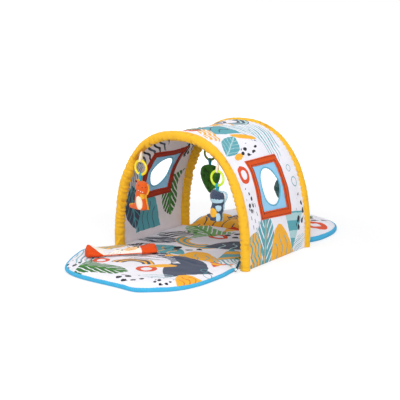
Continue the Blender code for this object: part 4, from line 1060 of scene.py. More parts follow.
def ribbon(name, path, width, thickness, finish):
    """A woven ribbon along a path, its width across X, with rounded edges."""
    rings = []
    for k, point in enumerate(path):
        along = (path[min(k + 1, len(path) - 1)] - path[max(k - 1, 0)]).normalized()
        face = along.cross(Vector((1.0, 0.0, 0.0))).normalized()
        row = []
        for angle in turns(20):
            side = signed_power(math.cos(angle), 0.25) * width / 2
            ripple = 0.0002 * math.sin(side * 900 + k * 0.7)
            row.append(point + Vector((side, 0.0, 0.0)) + face * (math.sin(angle) * thickness / 2 + ripple))
        rings.append(row)
    return lofted(name, closed_ends(rings), finish)


def looped_path(x, y, wire_z, end_z, way, end_y=None):
    """A ribbon's path from end_z round the wire and back. Way is 1 when it comes from above."""
    around = WIRE_REACH + 0.0016
    end_y = y if end_y is None else end_y
    leg = []
    for step in range(13):
        ease = eased(step / 12)
        leg.append((0.0007 + (around - 0.0007) * ease, end_y + (y - end_y) * ease,
                    end_z + (wire_z - end_z) * step / 12))
    path = [Vector((x, middle - off, z)) for off, middle, z in leg]
    for angle in turns(28)[1:14]:
        path.append(Vector((x, y - around * math.cos(angle), wire_z - way * around * math.sin(angle))))
    return path + [Vector((x, middle + off, z)) for off, middle, z in reversed(leg)]


def sleeve_below(x, y):
    """Height of a sleeve's underside at x, in the plane y."""
    near = min((k for k, point in enumerate(arch_points) if point.z > 0.2),
               key=lambda k: abs(arch_points[k].x - x))
    point, out, _ = arch_at(near * spacing)
    return point.z - math.sqrt(SLEEVE_RADIUS ** 2 - (abs(y) - ARCH_PLANE) ** 2) / out.z


def plastic(name, colour, roughness=0.32):
    """Moulded plastic: slightly translucent, with a soft mottle in its gloss."""
    made = bpy.data.materials.new(name)
    made.use_nodes = True
    tree = made.node_tree
    where = new_node(tree, "ShaderNodeTexCoord").outputs["Object"]
    mottle = new_node(tree, "ShaderNodeTexNoise", {"Scale": 160, "Vector": where}).outputs["Fac"]
    gloss = new_node(tree, "ShaderNodeMapRange", {"To Min": roughness - 0.06, "To Max": roughness + 0.08,
                                                  "Value": mottle})
    peel = new_node(tree, "ShaderNodeBump", {"Strength": 0.15, "Distance": 0.0002, "Height": mottle})
    fed(tree.nodes["Principled BSDF"],
        {"Base Color": colour, "Subsurface Weight": 0.12, "Subsurface Scale": 0.004,
         "Roughness": gloss.outputs[0], "Normal": peel.outputs[0]})
    return made


RING_COLOURS = {"front_left": ("yellow_plastic", linear(255, 224, 32)),
                "front_right": ("lime_plastic", linear(208, 236, 40)),
                "rear_left": ("green_plastic", linear(138, 166, 44)),
                "rear_right": ("cyan_plastic", linear(60, 180, 200))}
for place, (x, y, wire_z) in HANGERS.items():
    path = looped_path(x, y, wire_z, sleeve_below(x, y) + 0.006, 1, y + (0.004 if y < 0 else 0.0))
    loop = ribbon("ribbon_loop_" + place, path, 0.009, 0.0009, loop_ribbon)
    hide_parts("toy_loop_" + place)
    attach(loop, "play_gym")

    slot_name, colour = RING_COLOURS[place]
    rings = []
    for turn in turns(168):
        row = []
        for angle in turns(28):
            across, depth = math.cos(angle), math.sin(angle)
            radius = WIRE_RADIUS * (1 + 0.05 * math.cos(4 * angle)) - 0.00025 * bell(depth, 0.08)
            if place == "front_right":
                radius += 0.0007 * max(0.0, math.cos(turn * 28)) ** 2 * max(0.0, across + 0.2) - 0.0004
            reach = RING_RADIUS + radius * across * WIRE_REACH / WIRE_RADIUS
            row.append((x + reach * math.sin(turn), y + radius * depth,
                        wire_z - RING_RADIUS + reach * math.cos(turn)))
        rings.append(row)
    link = lofted("link_" + place, rings, plastic(slot_name + "_finish", colour), closed_path=True)
    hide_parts("ring_" + place)
    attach(link, "ring_" + place)


# Two stuffed dinosaurs in short plush, in profile, head and body in one with a seam round the silhouette.
# A flat felt edging is held in that seam round head and back. Belly, mouth and arm are felt, sewn on.

TOY_HEIGHT, TOY_DEPTH = 0.112, 0.032
LONG_STRAP, SHORT_STRAP = 0.022, 0.017          # from the lower wire to the top of a toy
toy_ribbon = cloth_finish("toy_ribbon", linear(36, 168, 190), roughness=0.7, weave=0.0005, pucker=0.0004)


def felt(name, colour, pucker=0.0008, sheen=0.3):
    return cloth_finish(name, colour, 0.98, sheen, 0.0011, pucker)


def plush(name, colour, mottle=0.0):
    """Short-pile plush: a clumped nap with lighter tips, its dye mottled where asked."""
    made = cloth_finish(name, colour, roughness=0.95, sheen=0.3, weave=0.0009, pucker=0.0014)
    tree = made.node_tree
    shader = tree.nodes["Principled BSDF"]
    where = new_node(tree, "ShaderNodeTexCoord").outputs["Object"]
    nap = new_node(tree, "ShaderNodeTexNoise", {"Scale": 620, "Detail": 4, "Vector": where})
    bump = new_node(tree, "ShaderNodeBump", {"Strength": 0.8, "Distance": 0.0012,
                                             "Height": nap.outputs["Fac"],
                                             "Normal": shader.inputs["Normal"].links[0].from_socket})
    fed(shader, {"Normal": bump.outputs[0]})
    if mottle:
        shade = next(node for node in tree.nodes if node.type == "MAP_RANGE")
        fed(shade, {"To Min": 1 - mottle, "To Max": 1 + mottle, "From Min": 0.35, "From Max": 0.65})
    return made


def smooth_stations(shares, steps=6):
    """The stations of a stuffed form with smooth ones put between them."""
    filled = []
    for k in range(len(shares) - 1):
        before, first, second, after = (Vector(shares[min(max(j, 0), len(shares) - 1)])
                                        for j in range(k - 1, k + 3))
        for step in range(steps):
            t = step / steps
            value = 0.5 * (2 * first + (second - before) * t
                           + (2 * before - 5 * first + 4 * second - after) * t * t
                           + (3 * first - before - 3 * second + after) * t ** 3)
            filled.append((value.x, value.y, max(value.z, 0.004)))
    return filled + [tuple(shares[-1])]


def stuffed_rings(top, shares, depth):
    """Rings of a stuffed limb along stations (x, down, half width) in shares of the toy's height."""
    line = [tuple(value * TOY_HEIGHT for value in station) for station in smooth_stations(shares)]
    widest = max(width for _, _, width in line)
    rings = []
    for k, (x, down, width) in enumerate(line):
        ahead, behind = line[min(k + 1, len(line) - 1)], line[max(k - 1, 0)]
        along = Vector((ahead[0] - behind[0], 0.0, behind[1] - ahead[1])).normalized()
        across = Vector((along.z, 0.0, -along.x))
        half_depth = depth / 2 * (width / widest) ** 0.6
        rings.append([top + Vector((x, 0.0, -down)) + across * (width * math.cos(angle))
                      + Vector((0.0, half_depth * math.sin(angle), 0.0)) for angle in turns(40)])
    return closed_ends(rings)


def foot_rings(top, x):
    """Rings of a flat oval foot at x from the toy's middle, standing at the toy's height."""
    rings = []
    for polar in turns(24)[1:12]:
        wide, high = math.sin(polar), math.cos(polar)
        rings.append([top + Vector((x + 0.0112 * wide * math.cos(angle),
                                    0.0170 * wide * math.sin(angle) - 0.0010,
                                    0.0070 * high + 0.0066 - TOY_HEIGHT)) for angle in turns(24)])
    return closed_ends(rings)


def stuffed_toy(name, top, limbs, feet, finish):
    """Limbs and feet joined in one plush skin, with the seam of its two halves and soft dimples."""
    bm = bmesh.new()
    for rings in ([stuffed_rings(top, shares, depth) for shares, depth in limbs]
                  + [foot_rings(top, x) for x in feet]):
        part = lofted(name + "_part", rings, finish)
        bm.from_mesh(part.data)
        bpy.data.objects.remove(part)
    data = bpy.data.meshes.new(name)
    bm.to_mesh(data)
    bm.free()
    item = in_scene(name, data)
    joined = item.modifiers.new("joined", "REMESH")
    joined.mode = "VOXEL"
    joined.voxel_size = 0.0020
    smoothed = item.modifiers.new("smoothed", "SMOOTH")
    smoothed.factor = 0.5
    smoothed.iterations = 4
    item.modifiers.new("finer", "SUBSURF").levels = 1
    made_real(item)
    moved = []
    for vertex in item.data.vertices:
        away = vertex.co.y - top.y
        pucker = 0.0007 * math.sin((vertex.co.x + vertex.co.z * 1.7) * 900) * bell(away, 0.005)
        dimple = 0.0012 * noise.noise(vertex.co * 70) + 0.0005 * noise.noise(vertex.co * 190)
        moved.extend(vertex.co + vertex.normal * (0.0004 + dimple + pucker - 0.0011 * bell(away, 0.0013)))
    item.data.vertices.foreach_set("co", moved)
    item.data.materials.clear()
    item.data.materials.append(finish)
    return item


def front_of(item):
    """Gives the height in y of a form's front at (x, z), searched for inwards where it is missed."""
    bm = bmesh.new()
    bm.from_mesh(item.data)
    tree = BVHTree.FromBMesh(bm)
    bm.free()
    middle_y = item.data.vertices[0].co.y

    def at(x, z, centre):
        for step in range(12):
            share = 1 - step * 0.05
            place = Vector((centre[0] + (x - centre[0]) * share, middle_y - 0.2,
                            centre[1] + (z - centre[1]) * share))
            found = tree.ray_cast(place, Vector((0.0, 1.0, 0.0)))[0]
            if found:
                return Vector((x, found.y, z))
        return Vector((x, middle_y, z))
    return at


def felt_patch(name, at, outline, thickness, finish, dome=0.0):
    """A felt patch that lies on a form's front inside an outline of (x, z) points."""
    centre = [sum(values) / len(outline) for values in zip(*outline)]
    upper, lower = [], []
    for step in range(9):
        share = math.sin(math.pi / 2 * step / 8)
        raised = thickness * (1 - max(0.0, share - 0.9) * 4) + dome * (1 - share ** 2)
        places = [at(centre[0] + (x - centre[0]) * share, centre[1] + (z - centre[1]) * share, centre)
                  for x, z in outline]
        upper.append([place - Vector((0.0, raised, 0.0)) for place in places])
        lower.append([place + Vector((0.0, 0.0008, 0.0)) for place in places])
    upper[0], lower[0] = upper[0][:1], lower[0][:1]
    return lofted(name, upper + lower[::-1], finish)


def blob(centre, half_width, half_height, turn=0.0, power=1.0, count=48):
    """An oval outline, squarer for a power under 1."""
    points = []
    for angle in turns(count):
        u = signed_power(math.cos(angle), power) * half_width
        v = signed_power(math.sin(angle), power) * half_height
        points.append((centre[0] + u * math.cos(turn) - v * math.sin(turn),
                       centre[1] + u * math.sin(turn) + v * math.cos(turn)))
    return points


def felt_edging(name, y, inner, outer, thickness, finish):
    """Flat felt with a cut edge between an inner line and an outer line of (x, z) points."""
    count = len(inner)
    points = [(x, y + off, z) for off in (-thickness / 2, thickness / 2) for line in (inner, outer)
              for x, z in line]
    faces = []
    for k in range(count - 1):
        a, b, c, d = k, k + 1, count + k + 1, count + k
        faces += [(a, b, c, d), tuple(2 * count + i for i in (d, c, b, a)),
                  (a, 2 * count + a, 2 * count + b, b), (d, c, 2 * count + c, 2 * count + d)]
    faces += [(0, count, 3 * count, 2 * count), (count - 1, 3 * count - 1, 4 * count - 1, 2 * count - 1)]
    return mesh_of(name, points, faces, finish, smooth=False)


def scalloped(corners, spacing, pitch, depth, towards):
    """Even points along corners, scalloped outwards, and the line that the felt is held on inside them."""
    outer, inner = [], []
    for k, point in enumerate(evenly([Vector(corner) for corner in corners], spacing)):
        away = (point - towards(point)).normalized()
        outer.append(tuple(point + away * (depth * abs(math.sin(math.pi * k * spacing / pitch)) - depth / 2)))
        inner.append(tuple(point - away * 0.0095))
    return inner, outer


def toy_place(place, strap):
    """The lower wire of a ring and the top of the toy that hangs from it by a strap."""
    x, y, wire_z = HANGERS[place]
    lower_wire = wire_z - 2 * RING_RADIUS
    return Vector((x, y, lower_wire)), Vector((x, y, lower_wire - WIRE_RADIUS - strap))


def toy_strap(name, wire, top):
    return ribbon(name, looped_path(wire.x, wire.y, wire.z, top.z - 0.006, -1), 0.010, 0.0010, toy_ribbon)


cream_felt, yellow_felt = linear(250, 240, 220), linear(250, 184, 44)
pale_felt, red_brown = linear(176, 208, 222), linear(120, 30, 22)
dark_stitch = cloth_finish("dark_stitch", linear(30, 26, 34), weave=0.0004)
tooth_felt = felt("tooth_felt", linear(250, 248, 240), 0.0004, 0.2)
DINOSAURS = (
    dict(label="orange_dinosaur", place="front_left", strap=LONG_STRAP, plush=linear(232, 96, 24),
         slot="orange_plush",
         head=((0, 0, 0.09), (0.005, 0.05, 0.185), (0.025, 0.13, 0.245), (0.035, 0.22, 0.258),
               (0.025, 0.32, 0.245), (0.005, 0.39, 0.205), (-0.01, 0.43, 0.14), (-0.015, 0.45, 0.07)),
         body=((-0.07, 0.35, 0.09), (-0.07, 0.39, 0.15), (-0.06, 0.46, 0.175), (-0.035, 0.54, 0.20),
               (-0.025, 0.66, 0.22), (-0.013, 0.78, 0.238), (0, 0.89, 0.262), (0, 0.96, 0.26), (0, 1, 0.18)),
         tail=((-0.12, 0.90, 0.10), (-0.24, 0.905, 0.10), (-0.34, 0.925, 0.078), (-0.43, 0.93, 0.06),
               (-0.51, 0.90, 0.03)),
         feet=(-0.0135, 0.0150), edge_felt=yellow_felt, edge_slot="yellow_felt", edge_pitch=0.0085,
         edge_depth=0.0026,
         edge=((-0.233, 0.044), (-0.20, -0.035), (-0.127, -0.061), (-0.063, -0.026), (0.01, -0.044),
               (0.095, 0.0), (0.20, 0.044), (0.317, 0.096), (0.349, 0.20), (0.339, 0.342), (0.286, 0.43),
               (0.225, 0.49), (0.226, 0.588), (0.254, 0.693), (0.275, 0.798), (0.311, 0.904), (0.324, 0.985)),
         belly=(0.01, 0.745, 0.0140, 0.0270, 0.20), belly_felt=cream_felt, belly_slot="cream_plush",
         patches=(("arm", yellow_felt, "yellow_felt", ((0.03, 0.44), (0.10, 0.41), (0.19, 0.425),
                                                       (0.22, 0.49), (0.20, 0.57), (0.14, 0.605),
                                                       (0.07, 0.57))),
                  ("ear", red_brown, "black_felt", ((-0.225, -0.01), (-0.185, -0.02), (-0.150, 0.02),
                                                    (-0.165, 0.07), (-0.205, 0.055)))),
         mouth=((-0.18, 0.23), (-0.11, 0.275), (-0.03, 0.316), (0.08, 0.352), (0.18, 0.377)),
         mouth_ink=red_brown,
         teeth=((-0.005, 0.300), (0.09, 0.335), (0.165, 0.352)),
         dots=((0.16, 0.19), (0.26, 0.175), (0.02, 0.12))),
    dict(label="blue_dinosaur", place="front_right", strap=SHORT_STRAP, plush=linear(62, 74, 98),
         slot="slate_plush",
         head=((0.01, 0, 0.12), (0, 0.04, 0.22), (-0.006, 0.14, 0.267), (0.002, 0.24, 0.273),
               (0.007, 0.34, 0.265), (-0.005, 0.41, 0.22), (-0.015, 0.45, 0.14), (-0.02, 0.47, 0.07)),
         body=((-0.06, 0.36, 0.09), (-0.05, 0.40, 0.16), (-0.02, 0.47, 0.20), (0, 0.55, 0.235),
               (-0.012, 0.63, 0.231), (-0.025, 0.73, 0.22), (-0.031, 0.85, 0.225), (-0.038, 0.95, 0.22),
               (-0.038, 1, 0.14)),
         tail=((-0.10, 0.87, 0.10), (-0.20, 0.87, 0.095), (-0.29, 0.865, 0.075), (-0.355, 0.85, 0.05),
               (-0.385, 0.835, 0.03)),
         feet=(-0.0178, 0.0092), edge_felt=pale_felt, edge_slot="pale_blue_felt", edge_pitch=0.0110,
         edge_depth=0.0012,
         edge=((-0.268, 0.05), (-0.209, -0.01), (-0.137, -0.055), (-0.02, -0.05), (0.10, -0.015),
               (0.242, -0.024), (0.337, 0.0), (0.389, 0.08), (0.389, 0.197), (0.337, 0.285), (0.290, 0.354),
               (0.275, 0.453), (0.277, 0.551), (0.228, 0.63), (0.200, 0.728), (0.205, 0.886), (0.194, 0.99)),
         belly=(-0.078, 0.71, 0.0170, 0.0175, 0.45), belly_felt=yellow_felt, belly_slot="yellow_felt",
         patches=(("mouth", pale_felt, "pale_blue_felt", ((-0.22, 0.30), (-0.20, 0.255), (-0.15, 0.275),
                                                          (-0.11, 0.240), (-0.06, 0.265), (-0.01, 0.236),
                                                          (0.05, 0.262), (0.10, 0.238), (0.16, 0.262),
                                                          (0.21, 0.242), (0.27, 0.250), (0.265, 0.31),
                                                          (0.23, 0.352), (0.10, 0.372), (-0.06, 0.384),
                                                          (-0.17, 0.362))),
                  ("chest", pale_felt, "pale_blue_felt", ((0.02, 0.48), (0.10, 0.445), (0.19, 0.455),
                                                          (0.215, 0.53), (0.19, 0.61), (0.12, 0.655),
                                                          (0.05, 0.60))),
                  ("leg", pale_felt, "pale_blue_felt", ((0.055, 0.74), (0.10, 0.695), (0.155, 0.72),
                                                        (0.175, 0.84), (0.17, 0.97), (0.08, 0.985),
                                                        (0.045, 0.86)))),
         mouth=((-0.04, 0.400), (0.06, 0.412), (0.15, 0.405), (0.218, 0.385)), mouth_ink=linear(30, 34, 52),
         teeth=(), dots=((0.05, 0.11), (0.20, 0.15))),
)
TOOTH = ((-0.0024, 0.0016), (0.0, 0.0017), (0.0024, 0.0013), (0.0012, -0.0010), (0.0002, -0.0026),
         (-0.0012, -0.0006))
TAIL_SPIKES = ((-0.20, 0.84), (-0.26, 0.74), (-0.245, 0.80), (-0.275, 0.79), (-0.28, 0.83), (-0.33, 0.80),
               (-0.345, 0.85), (-0.40, 0.81), (-0.41, 0.86), (-0.465, 0.82), (-0.475, 0.87), (-0.53, 0.86),
               (-0.525, 0.92))
for toy in DINOSAURS:
    label = toy["label"]
    wire, top = toy_place(toy["place"], toy["strap"])

    def at_share(u, v):
        return top.x + u * TOY_HEIGHT, top.z - v * TOY_HEIGHT

    skin = stuffed_toy(label + "_plush", top,
                       ((toy["head"], TOY_DEPTH), (toy["body"], TOY_DEPTH), (toy["tail"], 0.022)),
                       toy["feet"], plush(label + "_nap", toy["plush"]))
    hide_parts(label + "_head", label + "_body", label + "_tail")
    at = front_of(skin)
    pieces = [skin]

    u, v, half_width, half_height, turn = toy["belly"]
    centre = at_share(u, v)
    belly = felt_patch(label + "_belly_felt", at, blob(centre, half_width, half_height, turn, 0.9), 0.0012,
                       felt(label + "_belly_cloth", toy["belly_felt"]), 0.0006)
    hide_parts(label + "_belly")
    hem = [at(px, pz, centre) + Vector((0.0, -0.0014, 0.0))
           for px, pz in blob(centre, half_width - 0.0013, half_height - 0.0013, turn, 0.9)]
    seam = stitched(label + "_belly_stitches", [hem + hem[:1]], dark_stitch, 0.0034, 0.0018, 0.00022)
    pieces += [belly, seam]

    def towards_middle(point):
        return Vector((top.x - 0.003,
                       min(top.z - 0.22 * TOY_HEIGHT, max(top.z - 0.84 * TOY_HEIGHT, point.y))))

    inner, outer = scalloped([at_share(*corner) for corner in toy["edge"]], 0.0011, toy["edge_pitch"],
                             toy["edge_depth"], towards_middle)
    edging = felt_edging(label + "_felt_edging", top.y + 0.0022, inner, outer, 0.0018,
                         felt(label + "_edge_felt", toy["edge_felt"]))
    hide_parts(label + "_edging")
    pieces.append(edging)

    for part, colour, slot_name, corners in toy["patches"]:
        outline = evenly([Vector(at_share(*corner)) for corner in corners + corners[:1]], 0.0012)[:-1]
        patch = felt_patch(f"{label}_{part}_felt", at, [tuple(point) for point in outline], 0.0013,
                           felt(f"{label}_{part}_cloth", colour, 0.0006), 0.0004)
        pieces.append(patch)
    lips = [at(*at_share(u, v), at_share(0, v)) + Vector((0.0, -0.0008, 0.0)) for u, v in toy["mouth"]]
    mouth = stitched(label + "_mouth_line", [evenly(lips, 0.0008)],
                     cloth_finish(label + "_mouth_thread", toy["mouth_ink"]), 0.0024, 0.0030, 0.0011)
    pieces.append(mouth)
    for k, (u, v) in enumerate(toy["teeth"]):
        px, pz = at_share(u, v)
        corners = [(px + across, pz + up) for across, up in TOOTH]
        tooth = felt_patch(f"{label}_tooth_{k}", at, corners, 0.0012, tooth_felt)
        pieces.append(tooth)
    for k, (u, v) in enumerate(toy["dots"]):
        dot = felt_patch(f"{label}_stitched_dot_{k}", at, blob(at_share(u, v), 0.0016, 0.0014, count=20),
                         0.0012, dark_stitch, 0.0006)
        pieces.append(dot)

    strap = toy_strap(label + "_ribbon", wire, top)
    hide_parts(label + "_strap")
    pieces.append(strap)
    if label == "orange_dinosaur":
        outer = [at_share(u, v) for u, v in TAIL_SPIKES]
        inner = [(px + 0.002, pz - (0.009 if k < 9 else 0.005)) for k, (px, pz) in enumerate(outer)]
        tail_felt = felt_edging(label + "_tail_felt", top.y + 0.0012, inner, outer, 0.0016,
                                edging.data.materials[0])
        pieces.append(tail_felt)
    for piece in pieces:
        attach(piece, label)


# Leaf toy at the rear left: a quilted dark green plush leaf on a near-black felt back, its veins sewn in.
# Its strap is folded round the lower wire and held between the two layers.

LEAF_HEIGHT, LEAF_FRONT, LEAF_BACK = 0.118, 0.2045, 0.2196      # its front and back along the tunnel
LEAF_WIDTHS = ((0, 0.10), (0.05, 0.26), (0.16, 0.37), (0.32, 0.407), (0.48, 0.38), (0.64, 0.31), (0.80, 0.21),
               (0.92, 0.11), (1, 0.03))
leaf_wire, leaf_top = toy_place("rear_left", SHORT_STRAP)
leaf_middle = leaf_top - Vector((0.0, 0.0, LEAF_HEIGHT * 0.42))


def leaf_outline(scale):
    """The leaf's outline, (x, z) points from its middle."""
    side = [(width * LEAF_HEIGHT, (0.42 - down) * LEAF_HEIGHT)
            for _, down, width in smooth_stations(
                 tuple((0.0, down, width) for down, width in LEAF_WIDTHS), 8)]
    loop = [Vector((u, v)) for u, v in side] + [Vector((-u, v)) for u, v in reversed(side)]
    return [point * scale for point in evenly(loop + loop[:1], 0.0018)[:-1]]


def leaf_layer(name, scale, front, back, crown, veins, finish):
    """One layer of the leaf: crowned towards the front, with grooves along the midrib and the side veins."""
    outline = leaf_outline(scale)

    def ring(share, y):
        return [(leaf_middle.x + u * share, y, leaf_middle.z + w * share) for u, w in outline]

    rings = [ring(0.0, front)[:1]]
    for step in range(1, 31):
        share = step / 30
        row = []
        for x, y, z in ring(share, front):
            u, w = x - leaf_middle.x, z - leaf_middle.z
            spread = abs((w + 0.75 * abs(u)) / 0.0165 % 1.0 - 0.5) * 0.0165
            groove = 0.0016 * bell(u, 0.0016) + 0.0013 * bell(spread, 0.0014) if veins else 0.0
            row.append((x, y + crown * share ** 7 + groove * (1 - share ** 6)
                        + 0.0008 * rough(u * 90, w * 90, 3.0), z))
        rings.append(row)
    rings += [ring(1.004, (front + crown + back) / 2)] + [ring(share, back) for share in (0.99, 0.7, 0.4)]
    return lofted(name, rings + [ring(0.0, back)[:1]], finish)


leaf_front = leaf_layer("leaf_plush_front", 1.0, LEAF_FRONT, 0.2140, 0.0062, True,
                        plush("leaf_nap", linear(62, 126, 42), mottle=0.5))
leaf_back = leaf_layer("leaf_felt_back", 0.985, 0.2146, LEAF_BACK, 0.0012, False,
                       felt("leaf_back_felt", linear(26, 30, 30), sheen=0.2))
vein_lines = [[Vector((leaf_top.x, LEAF_FRONT + 0.0012, leaf_top.z - 0.010)),
               Vector((leaf_top.x, LEAF_FRONT + 0.0010, leaf_top.z - LEAF_HEIGHT * 0.93))]]
for k in range(5):
    down, reach = leaf_top.z - LEAF_HEIGHT * (0.30 + 0.13 * k), 0.030 - 0.0045 * k
    vein_lines += [[Vector((leaf_top.x, LEAF_FRONT + 0.0010, down)),
                    Vector((leaf_top.x + side * reach, LEAF_FRONT + 0.0013, down + 0.75 * reach))]
                   for side in (-1, 1)]
leaf_veins = stitched("leaf_vein_stitches", [evenly(line, 0.001) for line in vein_lines],
                      cloth_finish("leaf_vein_thread", linear(14, 46, 18), weave=0.0004),
                      0.0030, 0.0032, 0.0007)
leaf_strap = toy_strap("leaf_toy_ribbon", leaf_wire, leaf_top)
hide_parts("leaf_toy_front")
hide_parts("leaf_toy_back")
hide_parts("leaf_toy_strap")
for piece, slot_name in ((leaf_front, "green_plush"), (leaf_back, "black_felt"), (leaf_veins, "green_plush"),
                         (leaf_strap, "cyan_ribbon")):
    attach(piece, "leaf_toy")


# Egg toy at the rear right: a grey-teal plush egg of four gores, with a darker felt band round its middle.

EGG_HEIGHT, EGG_HALF_WIDTH, EGG_HALF_DEPTH = 0.098, 0.033, 0.016
BAND_LOW, BAND_HIGH = 0.2107, 0.2287
egg_wire, egg_top = toy_place("rear_right", LONG_STRAP)


def egg_point(down, angle, off=0.0):
    """A point on the egg's skin, down from its top and round it, puckered at the four seams."""
    share = clamped(down / (EGG_HEIGHT - 0.0010))
    girth = math.sin(math.pi * share ** 0.86) ** 0.62 if 0 < share < 1 else 0.0
    seam = sum(bell((angle - math.pi / 2 * k + math.pi) % math.tau - math.pi, 0.05) for k in range(4))
    soft = 0.0008 * rough(math.cos(angle) * 2, math.sin(angle) * 2, share * 6)
    swell = (soft + off - 0.0011 * seam * min(1.0, girth * 2)) * min(1.0, girth * 3)
    return egg_top + Vector(((EGG_HALF_WIDTH * girth + swell) * math.cos(angle),
                             (EGG_HALF_DEPTH * girth + swell) * math.sin(angle), -down))


def egg_ring(down, off=0.0):
    return [egg_point(down, angle, off) for angle in turns(72)]


skin_height = EGG_HEIGHT - 0.0010
rings = [egg_ring(skin_height * (0.5 - 0.5 * math.cos(math.pi * step / 64))) for step in range(65)]
rings[0], rings[-1] = rings[0][:1], rings[-1][:1]
egg = lofted("egg_plush", rings, plush("egg_nap", linear(96, 142, 148), mottle=0.12))
band_depths = [egg_top.z - BAND_LOW - (BAND_HIGH - BAND_LOW) * k / 8 for k in range(9)]
band_rings = []
for down in band_depths:
    edge = min(egg_top.z - down - BAND_LOW, BAND_HIGH - egg_top.z + down)
    band_rings.append(egg_ring(down, 0.0020 - 0.0006 * bell(edge, 0.0012)))
band = lofted("egg_felt_band", band_rings + [egg_ring(down, 0.0004) for down in reversed(band_depths)],
              felt("egg_band_felt", linear(64, 110, 112), 0.0006), closed_path=True)
rows = [egg_ring(egg_top.z - height, 0.0022) for height in (BAND_LOW + 0.0022, BAND_HIGH - 0.0022)]
band_seams = stitched("egg_band_stitches", [row + row[:1] for row in rows], tooth_felt,
                      0.0040, 0.0024, 0.0003)
egg_strap = toy_strap("egg_toy_ribbon", egg_wire, egg_top)
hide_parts("egg_toy_body")
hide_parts("egg_toy_band")
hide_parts("egg_toy_strap")
for piece, slot_name in ((egg, "teal_plush"), (band, "orange_felt"), (band_seams, "orange_felt"),
                         (egg_strap, "cyan_ribbon")):
    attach(piece, "egg_toy")


# Tummy pillow, a long white printed cushion with two flared orange ends, lying on the front wing.
# Orange piping runs along its side seams. The near end stands up like a fan, the far one is folded over.

PILLOW_CENTRE, PILLOW_TURN, PILLOW_LENGTH = Vector((-0.1425, -0.394, 0.0325)), math.radians(50), 0.270
PILLOW_SEAM = 0.0730          # from the middle to the seam of each end
pillow_axis = Vector((math.cos(PILLOW_TURN), math.sin(PILLOW_TURN), 0.0))
pillow_side = Vector((-math.sin(PILLOW_TURN), math.cos(PILLOW_TURN), 0.0))


def pillow_point(along, angle, grow=0.0):
    """A point on the pillow's skin at a distance along its axis and an angle round it."""
    reach = abs(along)
    flare = clamped((reach - PILLOW_SEAM + 0.006) / 0.050)
    stands = flare ** 1.3 if along < 0 else 0.0
    half_width = (0.0255 - 0.003 * math.cos(math.pi * reach / PILLOW_SEAM)
                  + (0.0125 + 0.001 * stands) * flare ** 0.8)
    height = (0.0205 - 0.0020 * math.cos(math.pi * min(1.0, reach / PILLOW_SEAM))
              + 0.009 * flare + 0.012 * stands)
    closing = max(0.0, 1 - max(0.0, reach / (PILLOW_LENGTH / 2) - 0.94) / 0.06) ** 0.5
    across, up = math.cos(angle), math.sin(angle)
    gathers = 0.0018 * math.sin(angle * 9 + 2 * math.sin(angle)) * bell(reach - PILLOW_SEAM, 0.016)
    folds = 0.0024 * math.sin(angle * 5 + along * 40) * flare
    soft = 0.0026 * rough(along * 28, across, up * 2) + 0.0011 * rough(along * 85, across * 3, up * 3)
    pinched = 1 - 0.55 * stands * max(0.0, up)
    wide = (half_width * pinched + soft + gathers + folds) * signed_power(across, 0.85) + grow * across
    above = height * (0.40 + 0.60 * up * closing if up > 0 else 0.40 * (1 - abs(up) ** 0.7))
    rise = (soft + gathers + folds * 0.7) * max(0.0, up) + grow * up
    seam = math.copysign(0.0012 * bell(up, 0.10), across)
    return (PILLOW_CENTRE + pillow_axis * along + pillow_side * (wide * (0.35 + 0.65 * closing) + seam)
            + Vector((0.0, 0.0, max(0.0, above + rise))))


def pillow_stretch(name, low, high, finish):
    """A stretch of the pillow as a closed skin, with flat coordinates for its print. The near seam slants."""
    def seam_at(along, angle):
        slant = max(0.0, 0.25 + 0.75 * math.sin(angle) + 0.30 * math.cos(angle))
        return along - (0.044 * slant if along == -PILLOW_SEAM else 0.0)

    steps = max(4, round((high - low) / 0.0022))
    rings = []
    for step in range(steps + 1):
        row = []
        for angle in turns(88):
            start, stop = seam_at(low, angle), seam_at(high, angle)
            row.append(pillow_point(start + (stop - start) * step / steps, angle))
        rings.append(row)
    item = lofted(name, closed_ends(rings), finish)
    places = [vertex.co - PILLOW_CENTRE for vertex in item.data.vertices]
    lay_flat(item, [(place.dot(pillow_axis), place.dot(pillow_side) + place.z * 0.8, 0.0)
                    for place in places])
    return item


pillow_print = printed_cloth("pillow_print", linear(248, 240, 228), (
    ("stripes", -0.050, 0.000, 12, 0.022, 0.012, PINK_GREY, WHITE),
    ("pebble", -0.012, 0.016, 20, 0.0060, 0.0046, BLACK, BLACK),
    ("pebble", 0.006, 0.024, 50, 0.0052, 0.0044, BLACK, BLACK),
    ("pebble", 0.002, 0.006, 10, 0.0060, 0.0046, BLACK, BLACK),
    ("leaf", 0.036, 0.012, 14, 0.032, 0.017, MUSTARD, WHITE),
    ("pebble", 0.066, 0.020, 70, 0.0052, 0.0042, BLACK, BLACK),
    ("dashes", -0.030, -0.012, 10, 0.026, 0.009, SLATE, SLATE),
))
end_cloth = cloth_finish("pillow_end_cloth", linear(226, 78, 22), sheen=0.05, pucker=0.0018)
for name, low, high, finish, node, slot_name in (
        ("pillow_body", -PILLOW_SEAM, PILLOW_SEAM, pillow_print, "tummy_pillow", "cream_plush"),
        ("pillow_fan_near", -PILLOW_LENGTH / 2, -PILLOW_SEAM, end_cloth, "pillow_end_near", "orange_plush"),
        ("pillow_fan_far", PILLOW_SEAM, PILLOW_LENGTH / 2, end_cloth, "pillow_end_far", "orange_plush")):
    piece = pillow_stretch(name, low, high, finish)
    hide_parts(node)
    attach(piece, "tummy_pillow")
